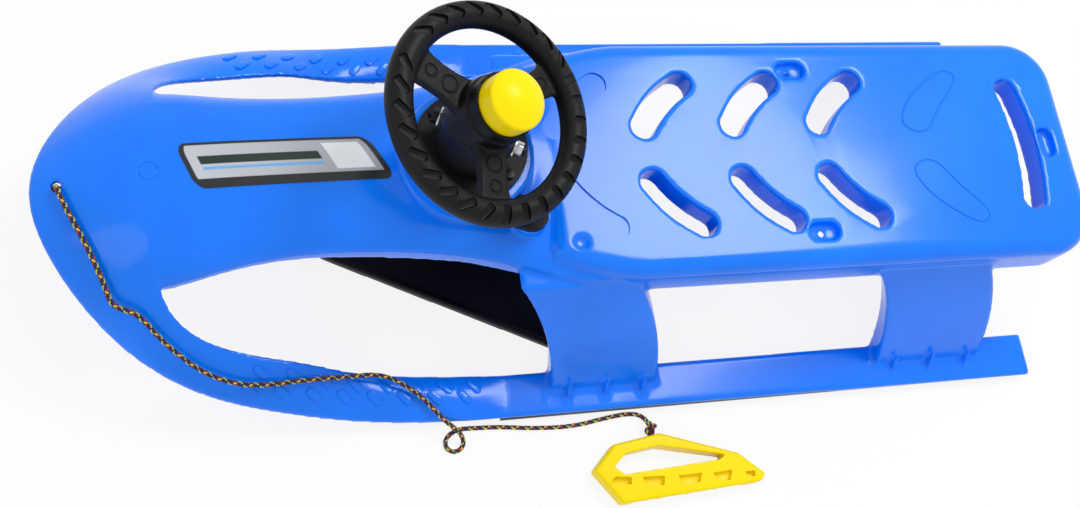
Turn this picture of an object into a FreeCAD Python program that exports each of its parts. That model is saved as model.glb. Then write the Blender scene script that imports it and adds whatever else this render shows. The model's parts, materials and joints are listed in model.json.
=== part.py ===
"""Child's steering sled: a moulded body on steel-shod runners, steered by a wheel and a ski."""
import FreeCAD, Part
import math
import os

Vector = FreeCAD.Vector

# Driving dimensions in millimetres and degrees.
# X runs from the nose at minus to the tail at plus, Z is up, the floor is at zero.
SIZES = {
    # Body
    "sled_length": 1000.0,
    "runner_span": 410.0,
    "runner_front_span": 405.0,
    "runner_width": 45.5,
    "runner_front_width": 42.0,
    "runner_thickness": 8.0,
    "runner_front_x": -92.0,
    "edge_radius": 2.5,
    "nose_height": 130.0,
    "nose_crest": 168.0,
    "nose_deck_length": 100.0,
    "bow_crown": 5.0,
    "bow_lap": 1.5,
    "bonnet_width": 150.0,
    "bonnet_crest": 180.0,
    "bonnet_wall_bottom": 134.0,
    "shell_wall": 5.0,
    "seat_height": 174.5,
    "seat_width": 234.0,
    "seat_front_width": 190.0,
    "seat_front_x": -66.0,
    "seat_shoulder_x": 20.0,
    "seat_depth": 49.0,
    "seat_corner_radius": 48.0,
    "seat_rim_radius": 15.0,
    "slot_width": 25.0,
    "slot_wall": 3.5,
    "slot_depth": 28.0,
    "slot_first_x": 60.0,
    "slot_pitch": 90.0,
    "slot_inner_y": 28.0,
    "slot_outer_y": 71.0,
    "slot_lean": 43.0,
    "slot_bow": 4.0,
    "grip_width": 25.0,
    "grip_half_length": 59.0,
    "grip_tail_gap": 62.0,
    "grip_bow": 7.0,
    "recess_length": 32.0,
    "recess_width": 18.0,
    "recess_depth": 9.0,
    "recess_floor": 3.0,
    "recess_hole": 5.0,
    "recess_x": 200.0,
    "recess_y": 84.0,
    "tail_recess_gap": 31.0,
    "round_recess": 15.0,
    "round_recess_depth": 3.0,
    "round_recess_x": -39.0,
    "rope_hole": 9.0,
    "rope_hole_gap": 23.0,
    # Legs
    "leg_top_y": 116.0,
    "leg_foot_inset": 22.0,
    "leg_depth": 26.0,
    "leg_wall": 5.0,
    "leg_overlap": 24.0,
    "front_leg_x": -13.0,
    "front_leg_length": 110.0,
    "rear_leg_x": 350.0,
    "rear_leg_length": 124.0,
    "leg_rake": 52.0,
    "leg_bulge": 11.0,
    "foot_rib_length": 12.0,
    "foot_rib_width": 4.0,
    "foot_rib_height": 20.0,
    # Runner strips
    "strip_thickness": 3.0,
    "strip_height": 8.0,
    "strip_width": 40.5,
    "strip_length": 586.0,
    "strip_tail_gap": 6.0,
    "rivet_diameter": 5.0,
    "rivet_head": 10.0,
    "rivet_head_depth": 1.8,
    "rivet_cover": 2.5,
    "rivet_pitch": 180.0,
    "rivet_end_gap": 30.0,
    "rivet_count": 4.0,
    # Steering axis
    "axis_x": -134.0,
    "axis_z": 178.0,
    "rest_turn": -26.0,
    "boss_diameter": 116.0,
    "boss_station": 18.0,
    "boss_foot": 26.0,
    "boss_wall": 5.0,
    "sleeve_diameter": 48.0,
    "sleeve_bore": 40.0,
    "sleeve_bottom": -45.0,
    "flange_diameter": 100.0,
    "flange_thickness": 8.0,
    "flange_screw_circle": 84.0,
    "bush_length": 15.0,
    "column_diameter": 32.0,
    "column_wall": 2.5,
    "column_top": 70.0,
    "column_bottom": -150.0,
    "collar_diameter": 50.0,
    "collar_length": 9.0,
    "pin_diameter": 5.0,
    "running_clearance": 0.05,
    "seat_clearance": 0.1,
    "moving_gap": 0.4,
    # Column brackets
    "bracket_x": -84.0,
    "bracket_y": 60.0,
    "bracket_width": 30.0,
    "bracket_thickness": 8.0,
    "bracket_root_y": 42.0,
    "bracket_length": 46.0,
    "bracket_seat_z": 180.0,
    # Steering wheel
    "wheel_diameter": 190.0,
    "rim_section": 23.0,
    "wheel_pivot": 80.0,
    "wheel_lean": 22.0,
    "wheel_station": 10.0,
    "hub_diameter": 64.0,
    "neck_diameter": 60.0,
    "neck_depth": 13.0,
    "hub_top": 24.0,
    "spoke_width": 28.0,
    "spoke_waist": 22.0,
    "spoke_thickness": 9.0,
    "spoke_turn": 57.0,
    "cup_height": 11.0,
    "cup_wall": 2.4,
    # Cross bolts
    "bolt_diameter": 8.0,
    "bolt_boss": 22.0,
    "bolt_head": 14.0,
    "bolt_head_height": 5.5,
    "nut_height": 6.5,
    "bolt_tip": 3.0,
    "washer_diameter": 18.0,
    "washer_thickness": 1.6,
    "wheel_bolt_station": 50.0,
    "wheel_bolt_seat": 33.0,
    "ski_bolt_station": -133.0,
    "ski_bolt_seat": 36.0,
    # Horn
    "cap_diameter": 51.0,
    "cap_height": 29.0,
    "cap_dome": 10.0,
    "cap_wall": 2.5,
    "horn_travel": 4.5,
    "horn_base_thickness": 3.0,
    "post_diameter": 12.0,
    "post_height": 20.0,
    "guide_wall": 3.0,
    "bellows_diameter": 40.0,
    "bellows_wall": 2.0,
    # Ski
    "ski_width": 164.0,
    "ski_thickness": 5.0,
    "ski_bottom": 16.0,
    "ski_rear": 200.0,
    "ski_front": 140.0,
    "ski_tip_length": 80.0,
    "ski_nose_length": 140.0,
    "ski_tip_rise": 34.0,
    "ski_corner_radius": 40.0,
    "keel_height": 8.0,
    "keel_width": 12.0,
    "keel_length": 290.0,
    "ski_rail_height": 6.0,
    "ski_rail_width": 5.0,
    "socket_diameter": 52.0,
    "socket_top": -100.0,
    # Screws
    "screw_diameter": 5.0,
    "screw_head": 9.0,
    "screw_head_height": 3.0,
    "screw_length": 12.0,
    # Rope, knots and handle
    "rope_diameter": 5.0,
    "stopper_knot_diameter": 15.0,
    "handle_knot_diameter": 17.0,
    "handle_length": 176.0,
    "handle_depth": 62.0,
    "handle_thickness": 20.0,
    "handle_x": 78.0,
    "handle_y": -262.0,
    "handle_turn": 3.0,
    "handle_round": 3.5,
    "finger_pitch": 30.0,
    "finger_depth": 4.0,
    "finger_height": 12.0,
    "overrun": 60.0,
}

doc = FreeCAD.newDocument("SteeringSled")
sheet = doc.addObject("Spreadsheet::Sheet", "sizes")
for row, (alias, value) in enumerate(SIZES.items(), 1):
    sheet.set(f"A{row}", alias)
    sheet.set(f"B{row}", str(value))
    sheet.setAlias(f"B{row}", alias)
doc.recompute()


class Sheet:
    """Reads a size from the spreadsheet by its alias."""

    def __getattr__(self, alias):
        return float(sheet.get(alias))


size = Sheet()
half_length = size.sled_length / 2
leg_foot_y = size.runner_span / 2 - size.leg_foot_inset
runner_top = size.strip_height + size.runner_thickness
nodes = []


def node(item, label):
    """Name a finished piece, which names its file."""
    item.Label = label
    nodes.append(item)
    return item


def shaped(label, shape, placement=None):
    """Make a finished piece from a shape built with Part's functions."""
    item = doc.addObject("Part::Feature", label)
    item.Shape = shape
    if placement is not None:
        item.Placement = placement
    return node(item, label)


def primitive(kind, name, place=None, **expressions):
    """Add a primitive whose properties follow expressions on the sheet."""
    item = doc.addObject("Part::" + kind, name)
    for prop, text in expressions.items():
        item.setExpression(prop, text)
    if place:
        item.setExpression("Placement", place)
    return item


def cut(name, base, tool, place=None):
    """Cut one document object by another."""
    item = doc.addObject("Part::Cut", name)
    item.Base = base
    item.Tool = tool
    if place:
        item.setExpression("Placement", place)
    return item


def fuse(name, items, place=None):
    """Fuse document objects."""
    item = doc.addObject("Part::MultiFuse", name)
    item.Shapes = items
    if place:
        item.setExpression("Placement", place)
    return item


def group(name, items):
    """Keep like pieces as separate solids of one node."""
    item = doc.addObject("Part::Compound", name)
    item.Links = items
    return item


def polygon(points):
    """A closed wire through points."""
    return Part.makePolygon(points + points[:1])


def prism(wire, along):
    """A solid swept from a flat closed wire."""
    return Part.Face(wire).extrude(along)


def capsule(start, end, width, bow=0.0):
    """A closed slot outline between two end centres in plan, bowed sideways at its middle."""
    along = end.sub(start)
    along.normalize()
    side = Vector(-along.y, along.x, 0)
    middle = start.add(end).multiply(1 / 2).add(side * bow)
    reach = width / 2
    left = Part.Arc(start + side * reach, middle + side * reach, end + side * reach) if bow else None
    right = Part.Arc(end - side * reach, middle - side * reach, start - side * reach) if bow else None
    edges = [
        left.toShape() if bow else Part.makeLine(start + side * reach, end + side * reach),
        Part.Arc(end + side * reach, end + along * reach, end - side * reach).toShape(),
        right.toShape() if bow else Part.makeLine(end - side * reach, start - side * reach),
        Part.Arc(start - side * reach, start - along * reach, start + side * reach).toShape(),
    ]
    return Part.Wire(edges)


def mirrored(shape):
    """The shape on the other side of the sled's middle plane."""
    return shape.mirror(Vector(0, 0, 0), Vector(0, 1, 0))


def both_sides(shape):
    """A shape and its mirror image."""
    return [shape, mirrored(shape)]


# Frames for expressions: the upright steering axis as moulded, the same turned with the ski,
# and the wheel's own axis, which leans back towards the rider.
AXIS = "placement(vector(sizes.axis_x; 0; sizes.axis_z); rotation(vector(0; 0; 1); 0))"
TURNED = AXIS + " * placement(vector(0; 0; 0); rotation(vector(0; 0; 1); sizes.rest_turn))"
WHEEL = TURNED + " * placement(vector(0; 0; sizes.wheel_pivot); rotation(vector(0; 1; 0); sizes.wheel_lean))"


def shift(frame, x="0", y="0", z="0"):
    """A frame moved along its own axes."""
    return f"{frame} * placement(vector({x}; {y}; {z}); rotation(vector(0; 0; 1); 0))"


def across(frame, station, turn, start):
    """A frame at a station of the steering axis whose Z points across it."""
    return (f"{frame} * placement(vector(0; 0; {station}); rotation(vector(0; 0; 1); {turn}))"
            f" * placement(vector({start}; 0; 0); rotation(vector(0; 1; 0); 90))")


axis_frame = FreeCAD.Placement(Vector(size.axis_x, 0, size.axis_z), FreeCAD.Rotation())
turned_frame = axis_frame.multiply(FreeCAD.Placement(
    Vector(0, 0, 0), FreeCAD.Rotation(Vector(0, 0, 1), size.rest_turn)))
lean_frame = FreeCAD.Placement(
    Vector(0, 0, size.wheel_pivot), FreeCAD.Rotation(Vector(0, 1, 0), size.wheel_lean))


def placed(shape, place):
    """A copy of a shape in another frame."""
    moved = shape.copy()
    moved.Placement = place
    return moved


def on_axis(shape):
    """Place a shape built about Z onto the steering axis as moulded."""
    return placed(shape, axis_frame)


# Body

# Bow sections from the runner to the tip: shares of half the length, half the front span
# and the nose crest, for the outer edge and then the inner edge.
BOW_SHARES = [
    ((-0.260, 0.998, 0.098), (-0.260, 0.786, 0.108)),
    ((-0.500, 0.950, 0.143), (-0.480, 0.744, 0.232)),
    ((-0.710, 0.842, 0.298), (-0.660, 0.670, 0.429)),
    ((-0.850, 0.655, 0.476), (-0.772, 0.550, 0.655)),
    ((-0.944, 0.390, 0.667), (-0.800, 0.350, 0.905)),
]

# Bonnet sections from nose to seat: x as a share of half the length, half-width as a share of
# half the bonnet width, crest and shoulder as shares of the bonnet crest, and the foot of the
# side wall as a share of its height.
BONNET_SHARES = [
    (-0.900, 0.820, 0.858, 0.720, 0.800),
    (-0.810, 1.200, 0.930, 0.780, 0.860),
    (-0.700, 1.090, 0.968, 0.835, 0.950),
    (-0.600, 1.000, 0.985, 0.870, 1.000),
    (-0.420, 1.010, 1.000, 0.900, 1.000),
    (-0.260, 1.150, 0.995, 0.905, 1.000),
    (-0.140, 1.380, 0.974, 0.900, 0.970),
    (0.000, 1.520, 0.970, 0.895, 0.930),
]


def bow_section(outer, inner, thickness, rise):
    """A crowned band section between an outer and an inner top edge."""
    down = Vector(0, 0, -thickness)
    crown = outer.add(inner).multiply(1 / 2) + Vector(0, 0, rise)
    edges = [
        Part.Arc(outer, crown, inner).toShape(),
        Part.makeLine(inner, inner + down),
        Part.Arc(inner + down, crown + down, outer + down).toShape(),
        Part.makeLine(outer + down, outer),
    ]
    return Part.Wire(edges)


def bow():
    """The band that curls up from one runner, round the nose and down to the other."""
    half_span = size.runner_front_span / 2
    inner_y = half_span - size.runner_front_width
    start = (Vector(size.runner_front_x, -half_span, runner_top),
             Vector(size.runner_front_x, -inner_y, runner_top))
    back = Vector(size.runner_width, 0, 0)
    pairs = [tuple(point + back for point in start), start]
    for outer, inner in BOW_SHARES:
        pairs.append(tuple(
            Vector(x * half_length, -y * half_span, z * size.nose_crest)
            for x, y, z in (outer, inner)))
    tip = (Vector(-half_length, 0, size.nose_height),
           Vector(size.nose_deck_length - half_length, 0, size.nose_crest))
    far = [tuple(Vector(p.x, -p.y, p.z) for p in pair) for pair in reversed(pairs)]
    sections = []
    for outer, inner in pairs + [tip] + far:
        if outer.x > size.runner_front_x - size.edge_radius:
            sections.append(bow_section(outer, inner, size.runner_thickness - size.bow_lap, size.bow_lap / 2))
        else:
            sections.append(bow_section(outer, inner, size.runner_thickness, size.bow_crown))
    return Part.makeLoft(sections, True, False)


def bonnet_section(x, half_width, crest, shoulder, bottom):
    """An arched section with rounded shoulders and upright walls."""
    round_over = half_width * bonnet_shoulder_share
    wall_top = shoulder - (crest - shoulder) * bonnet_wall_share
    left = [Vector(x, -half_width, bottom), Vector(x, -half_width, wall_top)]
    arc_middle = Vector(x, -half_width + round_over * bonnet_arc_share,
                        wall_top + (shoulder - wall_top) * bonnet_arc_rise_share)
    arc_end = Vector(x, -half_width + round_over, shoulder + (crest - shoulder) * bonnet_wall_share)
    flip = [Vector(p.x, -p.y, p.z) for p in (left[0], left[1], arc_middle, arc_end)]
    edges = [
        Part.makeLine(left[0], left[1]),
        Part.Arc(left[1], arc_middle, arc_end).toShape(),
        Part.Arc(arc_end, Vector(x, 0, crest), flip[3]).toShape(),
        Part.Arc(flip[3], flip[2], flip[1]).toShape(),
        Part.makeLine(flip[1], flip[0]),
        Part.makeLine(flip[0], left[0]),
    ]
    return Part.Wire(edges)


bonnet_shoulder_share = 0.30
bonnet_wall_share = 0.45
bonnet_arc_share = 0.26
bonnet_arc_rise_share = 0.85


def bonnet(inset):
    """The bonnet's outer form, or its hollow when inset by the wall."""
    wires = []
    for x, half_width, crest, shoulder, foot in BONNET_SHARES:
        wires.append(bonnet_section(
            x * half_length,
            half_width * size.bonnet_width / 2 - inset,
            crest * size.bonnet_crest - inset,
            shoulder * size.bonnet_crest - inset,
            foot * size.bonnet_wall_bottom - (size.overrun if inset else 0)))
    return Part.makeLoft(wires, True, False)


def seat_outline(inset):
    """The seat's plan outline, straight-sided behind its shoulders."""
    front = size.seat_front_width / 2 - inset
    rear = size.seat_width / 2 - inset
    tail = half_length - inset
    corner = size.seat_corner_radius - inset
    lean = corner * (1 - math.sqrt(1 / 2))
    right = [
        Vector(size.seat_front_x, -front, 0),
        Vector(size.seat_shoulder_x, -rear, 0),
        Vector(tail - corner, -rear, 0),
        Vector(tail - lean, -rear + lean, 0),
        Vector(tail, -rear + corner, 0),
    ]
    left = [Vector(p.x, -p.y, 0) for p in right]
    ease = Vector((right[0].x + right[1].x) / 2, right[0].y * seat_ease_share + right[1].y
                  * (1 - seat_ease_share), 0)
    ease_left = Vector(ease.x, -ease.y, 0)
    return Part.Wire([
        Part.Arc(right[0], ease, right[1]).toShape(),
        Part.makeLine(right[1], right[2]),
        Part.Arc(right[2], right[3], right[4]).toShape(),
        Part.makeLine(right[4], left[4]),
        Part.Arc(left[4], left[3], left[2]).toShape(),
        Part.makeLine(left[2], left[1]),
        Part.Arc(left[1], ease_left, left[0]).toShape(),
        Part.makeLine(left[0], right[0]),
    ])


seat_ease_share = 0.34


def seat_block(inset, radius, bottom, height):
    """A seat-shaped block with a rounded top edge."""
    wire = seat_outline(inset)
    wire.translate(Vector(0, 0, bottom))
    block = prism(wire, Vector(0, 0, height))
    top = [edge for edge in block.Edges if min(v.Z for v in edge.Vertexes) > bottom + height / 2]
    return block.makeFillet(radius, top)


slots_to_a_side = 3


def slot_wires(width):
    """Plan outlines of the seat slots, three to a side, and the hand slot at the tail."""
    wires = []
    for index in range(slots_to_a_side):
        inner_x = size.slot_first_x + index * size.slot_pitch - size.slot_lean / 2
        inner = Vector(inner_x, -size.slot_inner_y, 0)
        outer = Vector(inner_x + size.slot_lean, -size.slot_outer_y, 0)
        wires += both_sides(capsule(outer, inner, width, size.slot_bow))
    grip_x = half_length - size.grip_tail_gap
    near = Vector(grip_x, -size.grip_half_length, 0)
    far = Vector(grip_x, size.grip_half_length, 0)
    wires.append(capsule(near, far, size.grip_width + width - size.slot_width, -size.grip_bow))
    return wires


def upright(wire, bottom, top):
    """A prism on a plan outline between two heights."""
    face = Part.Face(wire)
    face.translate(Vector(0, 0, bottom))
    return face.extrude(Vector(0, 0, top - bottom))


def recess_places():
    """Plan centres and half-axes of the oblong screw recesses."""
    run = (size.recess_length - size.recess_width) / 2
    tail_x = half_length - size.tail_recess_gap
    return [
        (Vector(size.recess_x, -size.recess_y, 0), Vector(run, 0, 0)),
        (Vector(size.recess_x, size.recess_y, 0), Vector(run, 0, 0)),
        (Vector(tail_x, 0, 0), Vector(0, run, 0)),
    ]


def seat():
    """The seat tray: a hollow block with walled slots and screw recesses."""
    bottom = size.seat_height - size.seat_depth
    wall = size.shell_wall
    tray = seat_block(0, size.seat_rim_radius, bottom, size.seat_depth)
    hollow = seat_block(wall, size.seat_rim_radius - wall, bottom - size.overrun,
                        size.seat_depth + size.overrun - wall)
    tray = tray.cut(hollow)
    low = size.seat_height - size.slot_depth
    under_skin = size.seat_height - wall / 2
    walls = [upright(wire, low, under_skin)
             for wire in slot_wires(size.slot_width + 2 * size.slot_wall)]
    recess_bottom = size.seat_height - size.recess_depth
    pads = []
    cuts = [upright(wire, low - size.overrun, size.seat_height + size.overrun)
            for wire in slot_wires(size.slot_width)]
    for centre, half in recess_places():
        pads.append(upright(capsule(centre - half, centre + half, size.recess_width + 2 * size.slot_wall),
                            recess_bottom - size.recess_floor, under_skin))
        cuts.append(upright(capsule(centre - half, centre + half, size.recess_width),
                            recess_bottom, size.seat_height + size.overrun))
        cuts.append(Part.makeCylinder(size.recess_hole / 2, size.recess_depth + size.overrun,
                                      centre + Vector(0, 0, recess_bottom - size.overrun / 2)))
    for side in (-1, 1):
        place = Vector(size.round_recess_x, side * size.recess_y,
                       size.seat_height - size.round_recess_depth)
        cuts.append(Part.makeCylinder(size.round_recess / 2, size.overrun, place))
    return tray.fuse(walls + pads), cuts


def leg_outline(centre_x, length, inset):
    """A leg's side outline: raked, with a bulging rear edge."""
    top = size.seat_height - size.seat_depth + size.leg_overlap - inset
    foot = runner_top - size.edge_radius
    front_top = centre_x - length / 2 - size.leg_rake / 2 + inset
    front_foot = front_top + size.leg_rake
    rear_top = centre_x + length / 2 - size.leg_rake / 2 - inset
    rear_foot = rear_top + size.leg_rake
    middle = (top + foot) / 2
    bulge = Vector((rear_top + rear_foot) / 2 + size.leg_bulge, 0, middle)
    hollow = Vector((front_top + front_foot) / 2 + size.leg_bulge, 0, middle)
    return Part.Wire([
        Part.Arc(Vector(front_top, 0, top), hollow, Vector(front_foot, 0, foot)).toShape(),
        Part.makeLine(Vector(front_foot, 0, foot), Vector(rear_foot, 0, foot)),
        Part.Arc(Vector(rear_foot, 0, foot), bulge, Vector(rear_top, 0, top)).toShape(),
        Part.makeLine(Vector(rear_top, 0, top), Vector(front_top, 0, top)),
    ])


def leg_band(depth, outer_inset):
    """The slanted band of a leg seen from the front, long enough for the whole sled."""
    top = size.seat_height - size.seat_depth + size.leg_overlap
    foot = runner_top - size.edge_radius
    reach = Vector(2 * size.sled_length, 0, 0)
    outer_top = -size.leg_top_y + outer_inset
    outer_foot = -leg_foot_y + outer_inset
    wire = polygon([
        Vector(-size.sled_length, outer_top, top),
        Vector(-size.sled_length, outer_foot, foot),
        Vector(-size.sled_length, outer_foot + depth, foot),
        Vector(-size.sled_length, outer_top + depth, top),
    ])
    return prism(wire, reach)


def leg(centre_x, length):
    """One hollow leg, open towards the sled's middle, with gusset ribs at its foot."""
    reach = Vector(0, -size.runner_span, 0)
    outer = prism(leg_outline(centre_x, length, 0), reach).common(leg_band(size.leg_depth, 0))
    inner = prism(leg_outline(centre_x, length, size.leg_wall), reach).common(
        leg_band(size.leg_depth + size.overrun, size.leg_wall))
    ribs = []
    for share in foot_rib_shares:
        x = centre_x + size.leg_rake / 2 + share * length / 2 - size.foot_rib_width / 2
        y = -leg_foot_y
        wire = polygon([
            Vector(x, y + size.leg_wall, runner_top - size.edge_radius),
            Vector(x, y - size.foot_rib_length, runner_top - size.edge_radius),
            Vector(x, y + size.leg_wall, runner_top + size.foot_rib_height),
        ])
        ribs.append(prism(wire, Vector(size.foot_rib_width, 0, 0)))
    return outer.cut(inner).fuse(ribs)


foot_rib_shares = (-0.7, 0.0, 0.7)


def runner():
    """The near runner's straight plate, its long top edges rounded, with a tongue for its strip."""
    inner = size.runner_span / 2 - size.runner_width
    front_inner = size.runner_front_span / 2 - size.runner_front_width
    wire = polygon([
        Vector(size.runner_front_x, -size.runner_front_span / 2, size.strip_height),
        Vector(half_length, -size.runner_span / 2, size.strip_height),
        Vector(half_length, -inner, size.strip_height),
        Vector(size.runner_front_x, -front_inner, size.strip_height),
    ])
    plate = prism(wire, Vector(0, 0, size.runner_thickness))
    tail = [edge for edge in plate.Edges
            if min(v.Z for v in edge.Vertexes) > runner_top - size.edge_radius
            and min(v.X for v in edge.Vertexes) > size.runner_front_x - size.edge_radius
            and max(v.X for v in edge.Vertexes) > size.runner_front_x + size.edge_radius]
    tongue_width = size.strip_width - 2 * size.strip_thickness - 2 * size.seat_clearance
    tongue = Part.makeBox(
        size.strip_length, tongue_width, size.strip_height - size.strip_thickness + size.runner_thickness / 2,
        Vector(half_length - size.strip_tail_gap - size.strip_length,
               (size.runner_width - size.runner_span - tongue_width) / 2, size.strip_thickness))
    return plate.makeFillet(size.edge_radius, tail).fuse(tongue)


def boss_parts():
    """The hollow steering boss, and what is cut from the bonnet inside it."""
    radius = size.boss_diameter / 2
    tube = size.sleeve_diameter / 2 + size.boss_wall
    height = size.boss_station + size.boss_foot
    base = Vector(0, 0, -size.boss_foot)
    outer = on_axis(Part.makeCylinder(radius, height, base))
    ring = Part.makeCylinder(radius - size.boss_wall, height - size.boss_wall + size.overrun,
                             base - Vector(0, 0, size.overrun))
    ring = ring.cut(Part.makeCylinder(tube, height + 2 * size.overrun, base - Vector(0, 0, 2 * size.overrun)))
    bore = Part.makeCylinder(size.sleeve_diameter / 2 + size.seat_clearance,
                             height + 2 * size.overrun, base - Vector(0, 0, size.overrun))
    screws = [Part.makeCylinder(size.screw_diameter / 2 + size.seat_clearance,
                                2 * size.screw_length, place - Vector(0, 0, size.screw_length))
              for place in flange_screw_places(size.boss_station)]
    pads = [Part.makeCylinder(size.screw_head, size.screw_length + size.boss_wall,
                              place - Vector(0, 0, size.screw_length + size.boss_wall))
            for place in flange_screw_places(size.boss_station)]
    return outer, on_axis(ring.cut(Part.makeCompound(pads))), on_axis(bore), [on_axis(s) for s in screws]


def flange_screw_places(station):
    """Screw centres on the bearing flange, in the axis frame."""
    radius = size.flange_screw_circle / 2
    diagonal = radius * math.sqrt(1 / 2)
    return [Vector(x * diagonal, y * diagonal, station) for x in (-1, 1) for y in (-1, 1)]


def bracket_pads():
    """Flat round pads of the body under the column brackets."""
    height = size.bracket_seat_z - size.seat_height + size.shell_wall
    return [Part.makeCylinder(size.bracket_width / 2, height,
                              Vector(size.bracket_x, side * size.bracket_y,
                                     size.bracket_seat_z - height))
            for side in (-1, 1)]


def bracket_screw_holes():
    """Holes for the column brackets' screws."""
    depth = size.screw_length + size.overrun
    return [Part.makeCylinder(size.screw_diameter / 2 + size.seat_clearance, depth,
                              Vector(size.bracket_x, side * size.bracket_y,
                                     size.bracket_seat_z - depth))
            for side in (-1, 1)]


def rivet_places():
    """Rivet centres along the near strip."""
    first = half_length - size.strip_tail_gap - size.rivet_end_gap
    y = -size.runner_span / 2 + size.runner_width / 2
    return [Vector(first - index * size.rivet_pitch, y, 0) for index in range(int(size.rivet_count))]


def sled_body():
    """The whole blue moulding."""
    tray, cuts = seat()
    outer, ring, bore, screws = boss_parts()
    hood = bonnet(0).fuse([bow(), tray])
    hood = hood.cut(bonnet(size.shell_wall))
    legs = []
    for centre_x, length in ((size.front_leg_x, size.front_leg_length),
                             (size.rear_leg_x, size.rear_leg_length)):
        legs += both_sides(leg(centre_x, length))
    solid = hood.fuse(legs + both_sides(runner()) + [outer] + bracket_pads())
    rope_place = Vector(size.rope_hole_gap - half_length, 0, 0)
    cuts.append(Part.makeCylinder(size.rope_hole / 2, size.bonnet_crest + size.overrun, rope_place))
    for place in rivet_places():
        cuts += both_sides(Part.makeCylinder(size.rivet_diameter / 2 + size.seat_clearance,
                                             runner_top - size.rivet_cover, place))
    return solid.cut([ring, bore] + screws + bracket_screw_holes() + cuts)


body_piece = shaped("sled_body", sled_body())


# Runner strips, folded up along both sides round the runners' tongues, and their rivets

STRIP_Y = "(sizes.runner_span - sizes.runner_width) / 2"
STRIP_X = "sizes.sled_length / 2 - sizes.strip_tail_gap - sizes.strip_length"


def plain(x="0", y="0", z="0"):
    """An untilted place in the sled's frame."""
    return f"placement(vector({x}; {y}; {z}); rotation(vector(0; 0; 1); 0))"


def rivet_x(index):
    """Expression for a rivet's place along the strip."""
    return f"sizes.sled_length / 2 - sizes.strip_tail_gap - sizes.rivet_end_gap - {index} * sizes.rivet_pitch"


rivets = []
for side_name, sign in (("right", -1), ("left", 1)):
    middle = f"{sign} * {STRIP_Y}"
    strip = primitive("Box", side_name + "_strip_bar", plain(STRIP_X, f"{middle} - sizes.strip_width / 2"),
                      Length="sizes.strip_length", Width="sizes.strip_width", Height="sizes.strip_height")
    hollow_place = plain(STRIP_X, f"{middle} - sizes.strip_width / 2 + sizes.strip_thickness",
                         "sizes.strip_thickness")
    holes = [primitive("Box", side_name + "_strip_hollow", hollow_place, Length="sizes.strip_length",
                       Width="sizes.strip_width - 2 * sizes.strip_thickness",
                       Height="sizes.strip_height - sizes.strip_thickness")]
    for index in range(int(size.rivet_count)):
        name = f"{side_name}_rivet_{index}"
        place = plain(rivet_x(index), middle)
        seat_place = plain(rivet_x(index), middle, "sizes.rivet_head_depth")
        head = primitive("Cylinder", name + "_head", place, Radius="sizes.rivet_head / 2",
                         Height="sizes.rivet_head_depth")
        shank = primitive("Cylinder", name + "_shank", seat_place, Radius="sizes.rivet_diameter / 2",
                          Height="sizes.strip_height + sizes.runner_thickness - sizes.rivet_cover"
                                 " - sizes.rivet_head_depth")
        rivets.append(fuse(name, [head, shank]))
        holes.append(primitive("Cylinder", name + "_sink", place, Height="sizes.rivet_head_depth",
                               Radius="sizes.rivet_head / 2 + sizes.seat_clearance"))
        holes.append(primitive("Cylinder", name + "_hole", place, Height="sizes.strip_thickness",
                               Radius="sizes.rivet_diameter / 2 + sizes.seat_clearance"))
    node(cut(side_name + "_strip", strip, fuse(side_name + "_strip_holes", holes)),
         side_name + "_runner_strip")
node(group("rivet_group", rivets), "strip_rivets")


# Column bearing

def tube(name, place, outer, inner, length):
    """A plain tube in a frame, with expressions for its radii and length."""
    shell = primitive("Cylinder", name + "_outer", Radius=outer, Height=length)
    bore = primitive("Cylinder", name + "_bore", Radius=inner, Height=length)
    return cut(name, shell, bore, place)


FLANGE_TOP = "(sizes.boss_station + sizes.flange_thickness)"
flange = primitive("Cylinder", "flange", plain(z="sizes.boss_station"),
                   Radius="sizes.flange_diameter / 2", Height="sizes.flange_thickness")
sleeve = primitive("Cylinder", "sleeve", plain(z="sizes.sleeve_bottom"), Radius="sizes.sleeve_diameter / 2",
                   Height=FLANGE_TOP + " - sizes.sleeve_bottom")
bearing_cuts = [primitive("Cylinder", "sleeve_bore", plain(z="sizes.sleeve_bottom"),
                          Radius="sizes.sleeve_bore / 2", Height=FLANGE_TOP + " - sizes.sleeve_bottom")]
bearing_screws = []
for number, (x_sign, y_sign) in enumerate(((-1, -1), (-1, 1), (1, -1), (1, 1))):
    spot_x = f"{x_sign} * sizes.flange_screw_circle / 2 * sqrt(1 / 2)"
    spot_y = f"{y_sign} * sizes.flange_screw_circle / 2 * sqrt(1 / 2)"
    bearing_cuts.append(primitive(
        "Cylinder", f"flange_hole_{number}", plain(spot_x, spot_y, "sizes.boss_station"),
        Radius="sizes.screw_diameter / 2 + sizes.seat_clearance", Height="sizes.flange_thickness"))
    head = primitive("Cylinder", f"bearing_screw_head_{number}", plain(spot_x, spot_y, FLANGE_TOP),
                     Radius="sizes.screw_head / 2", Height="sizes.screw_head_height")
    shank = primitive("Cylinder", f"bearing_screw_shank_{number}",
                      plain(spot_x, spot_y, "sizes.boss_station - sizes.screw_length"),
                      Radius="sizes.screw_diameter / 2",
                      Height="sizes.screw_length + sizes.flange_thickness")
    bearing_screws.append(fuse(f"bearing_screw_{number}", [head, shank], AXIS))
bearing = cut("bearing", fuse("bearing_stock", [flange, sleeve]), fuse("bearing_cuts", bearing_cuts), AXIS)
node(bearing, "column_bearing")
node(group("bearing_screw_group", bearing_screws), "bearing_screws")
for label, bottom in (("upper_bush", FLANGE_TOP + " - sizes.bush_length"),
                      ("lower_bush", "sizes.sleeve_bottom")):
    node(tube(label + "_tube", shift(AXIS, z=bottom), "sizes.sleeve_bore / 2",
              "sizes.column_diameter / 2 + sizes.running_clearance", "sizes.bush_length"), label)


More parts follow.
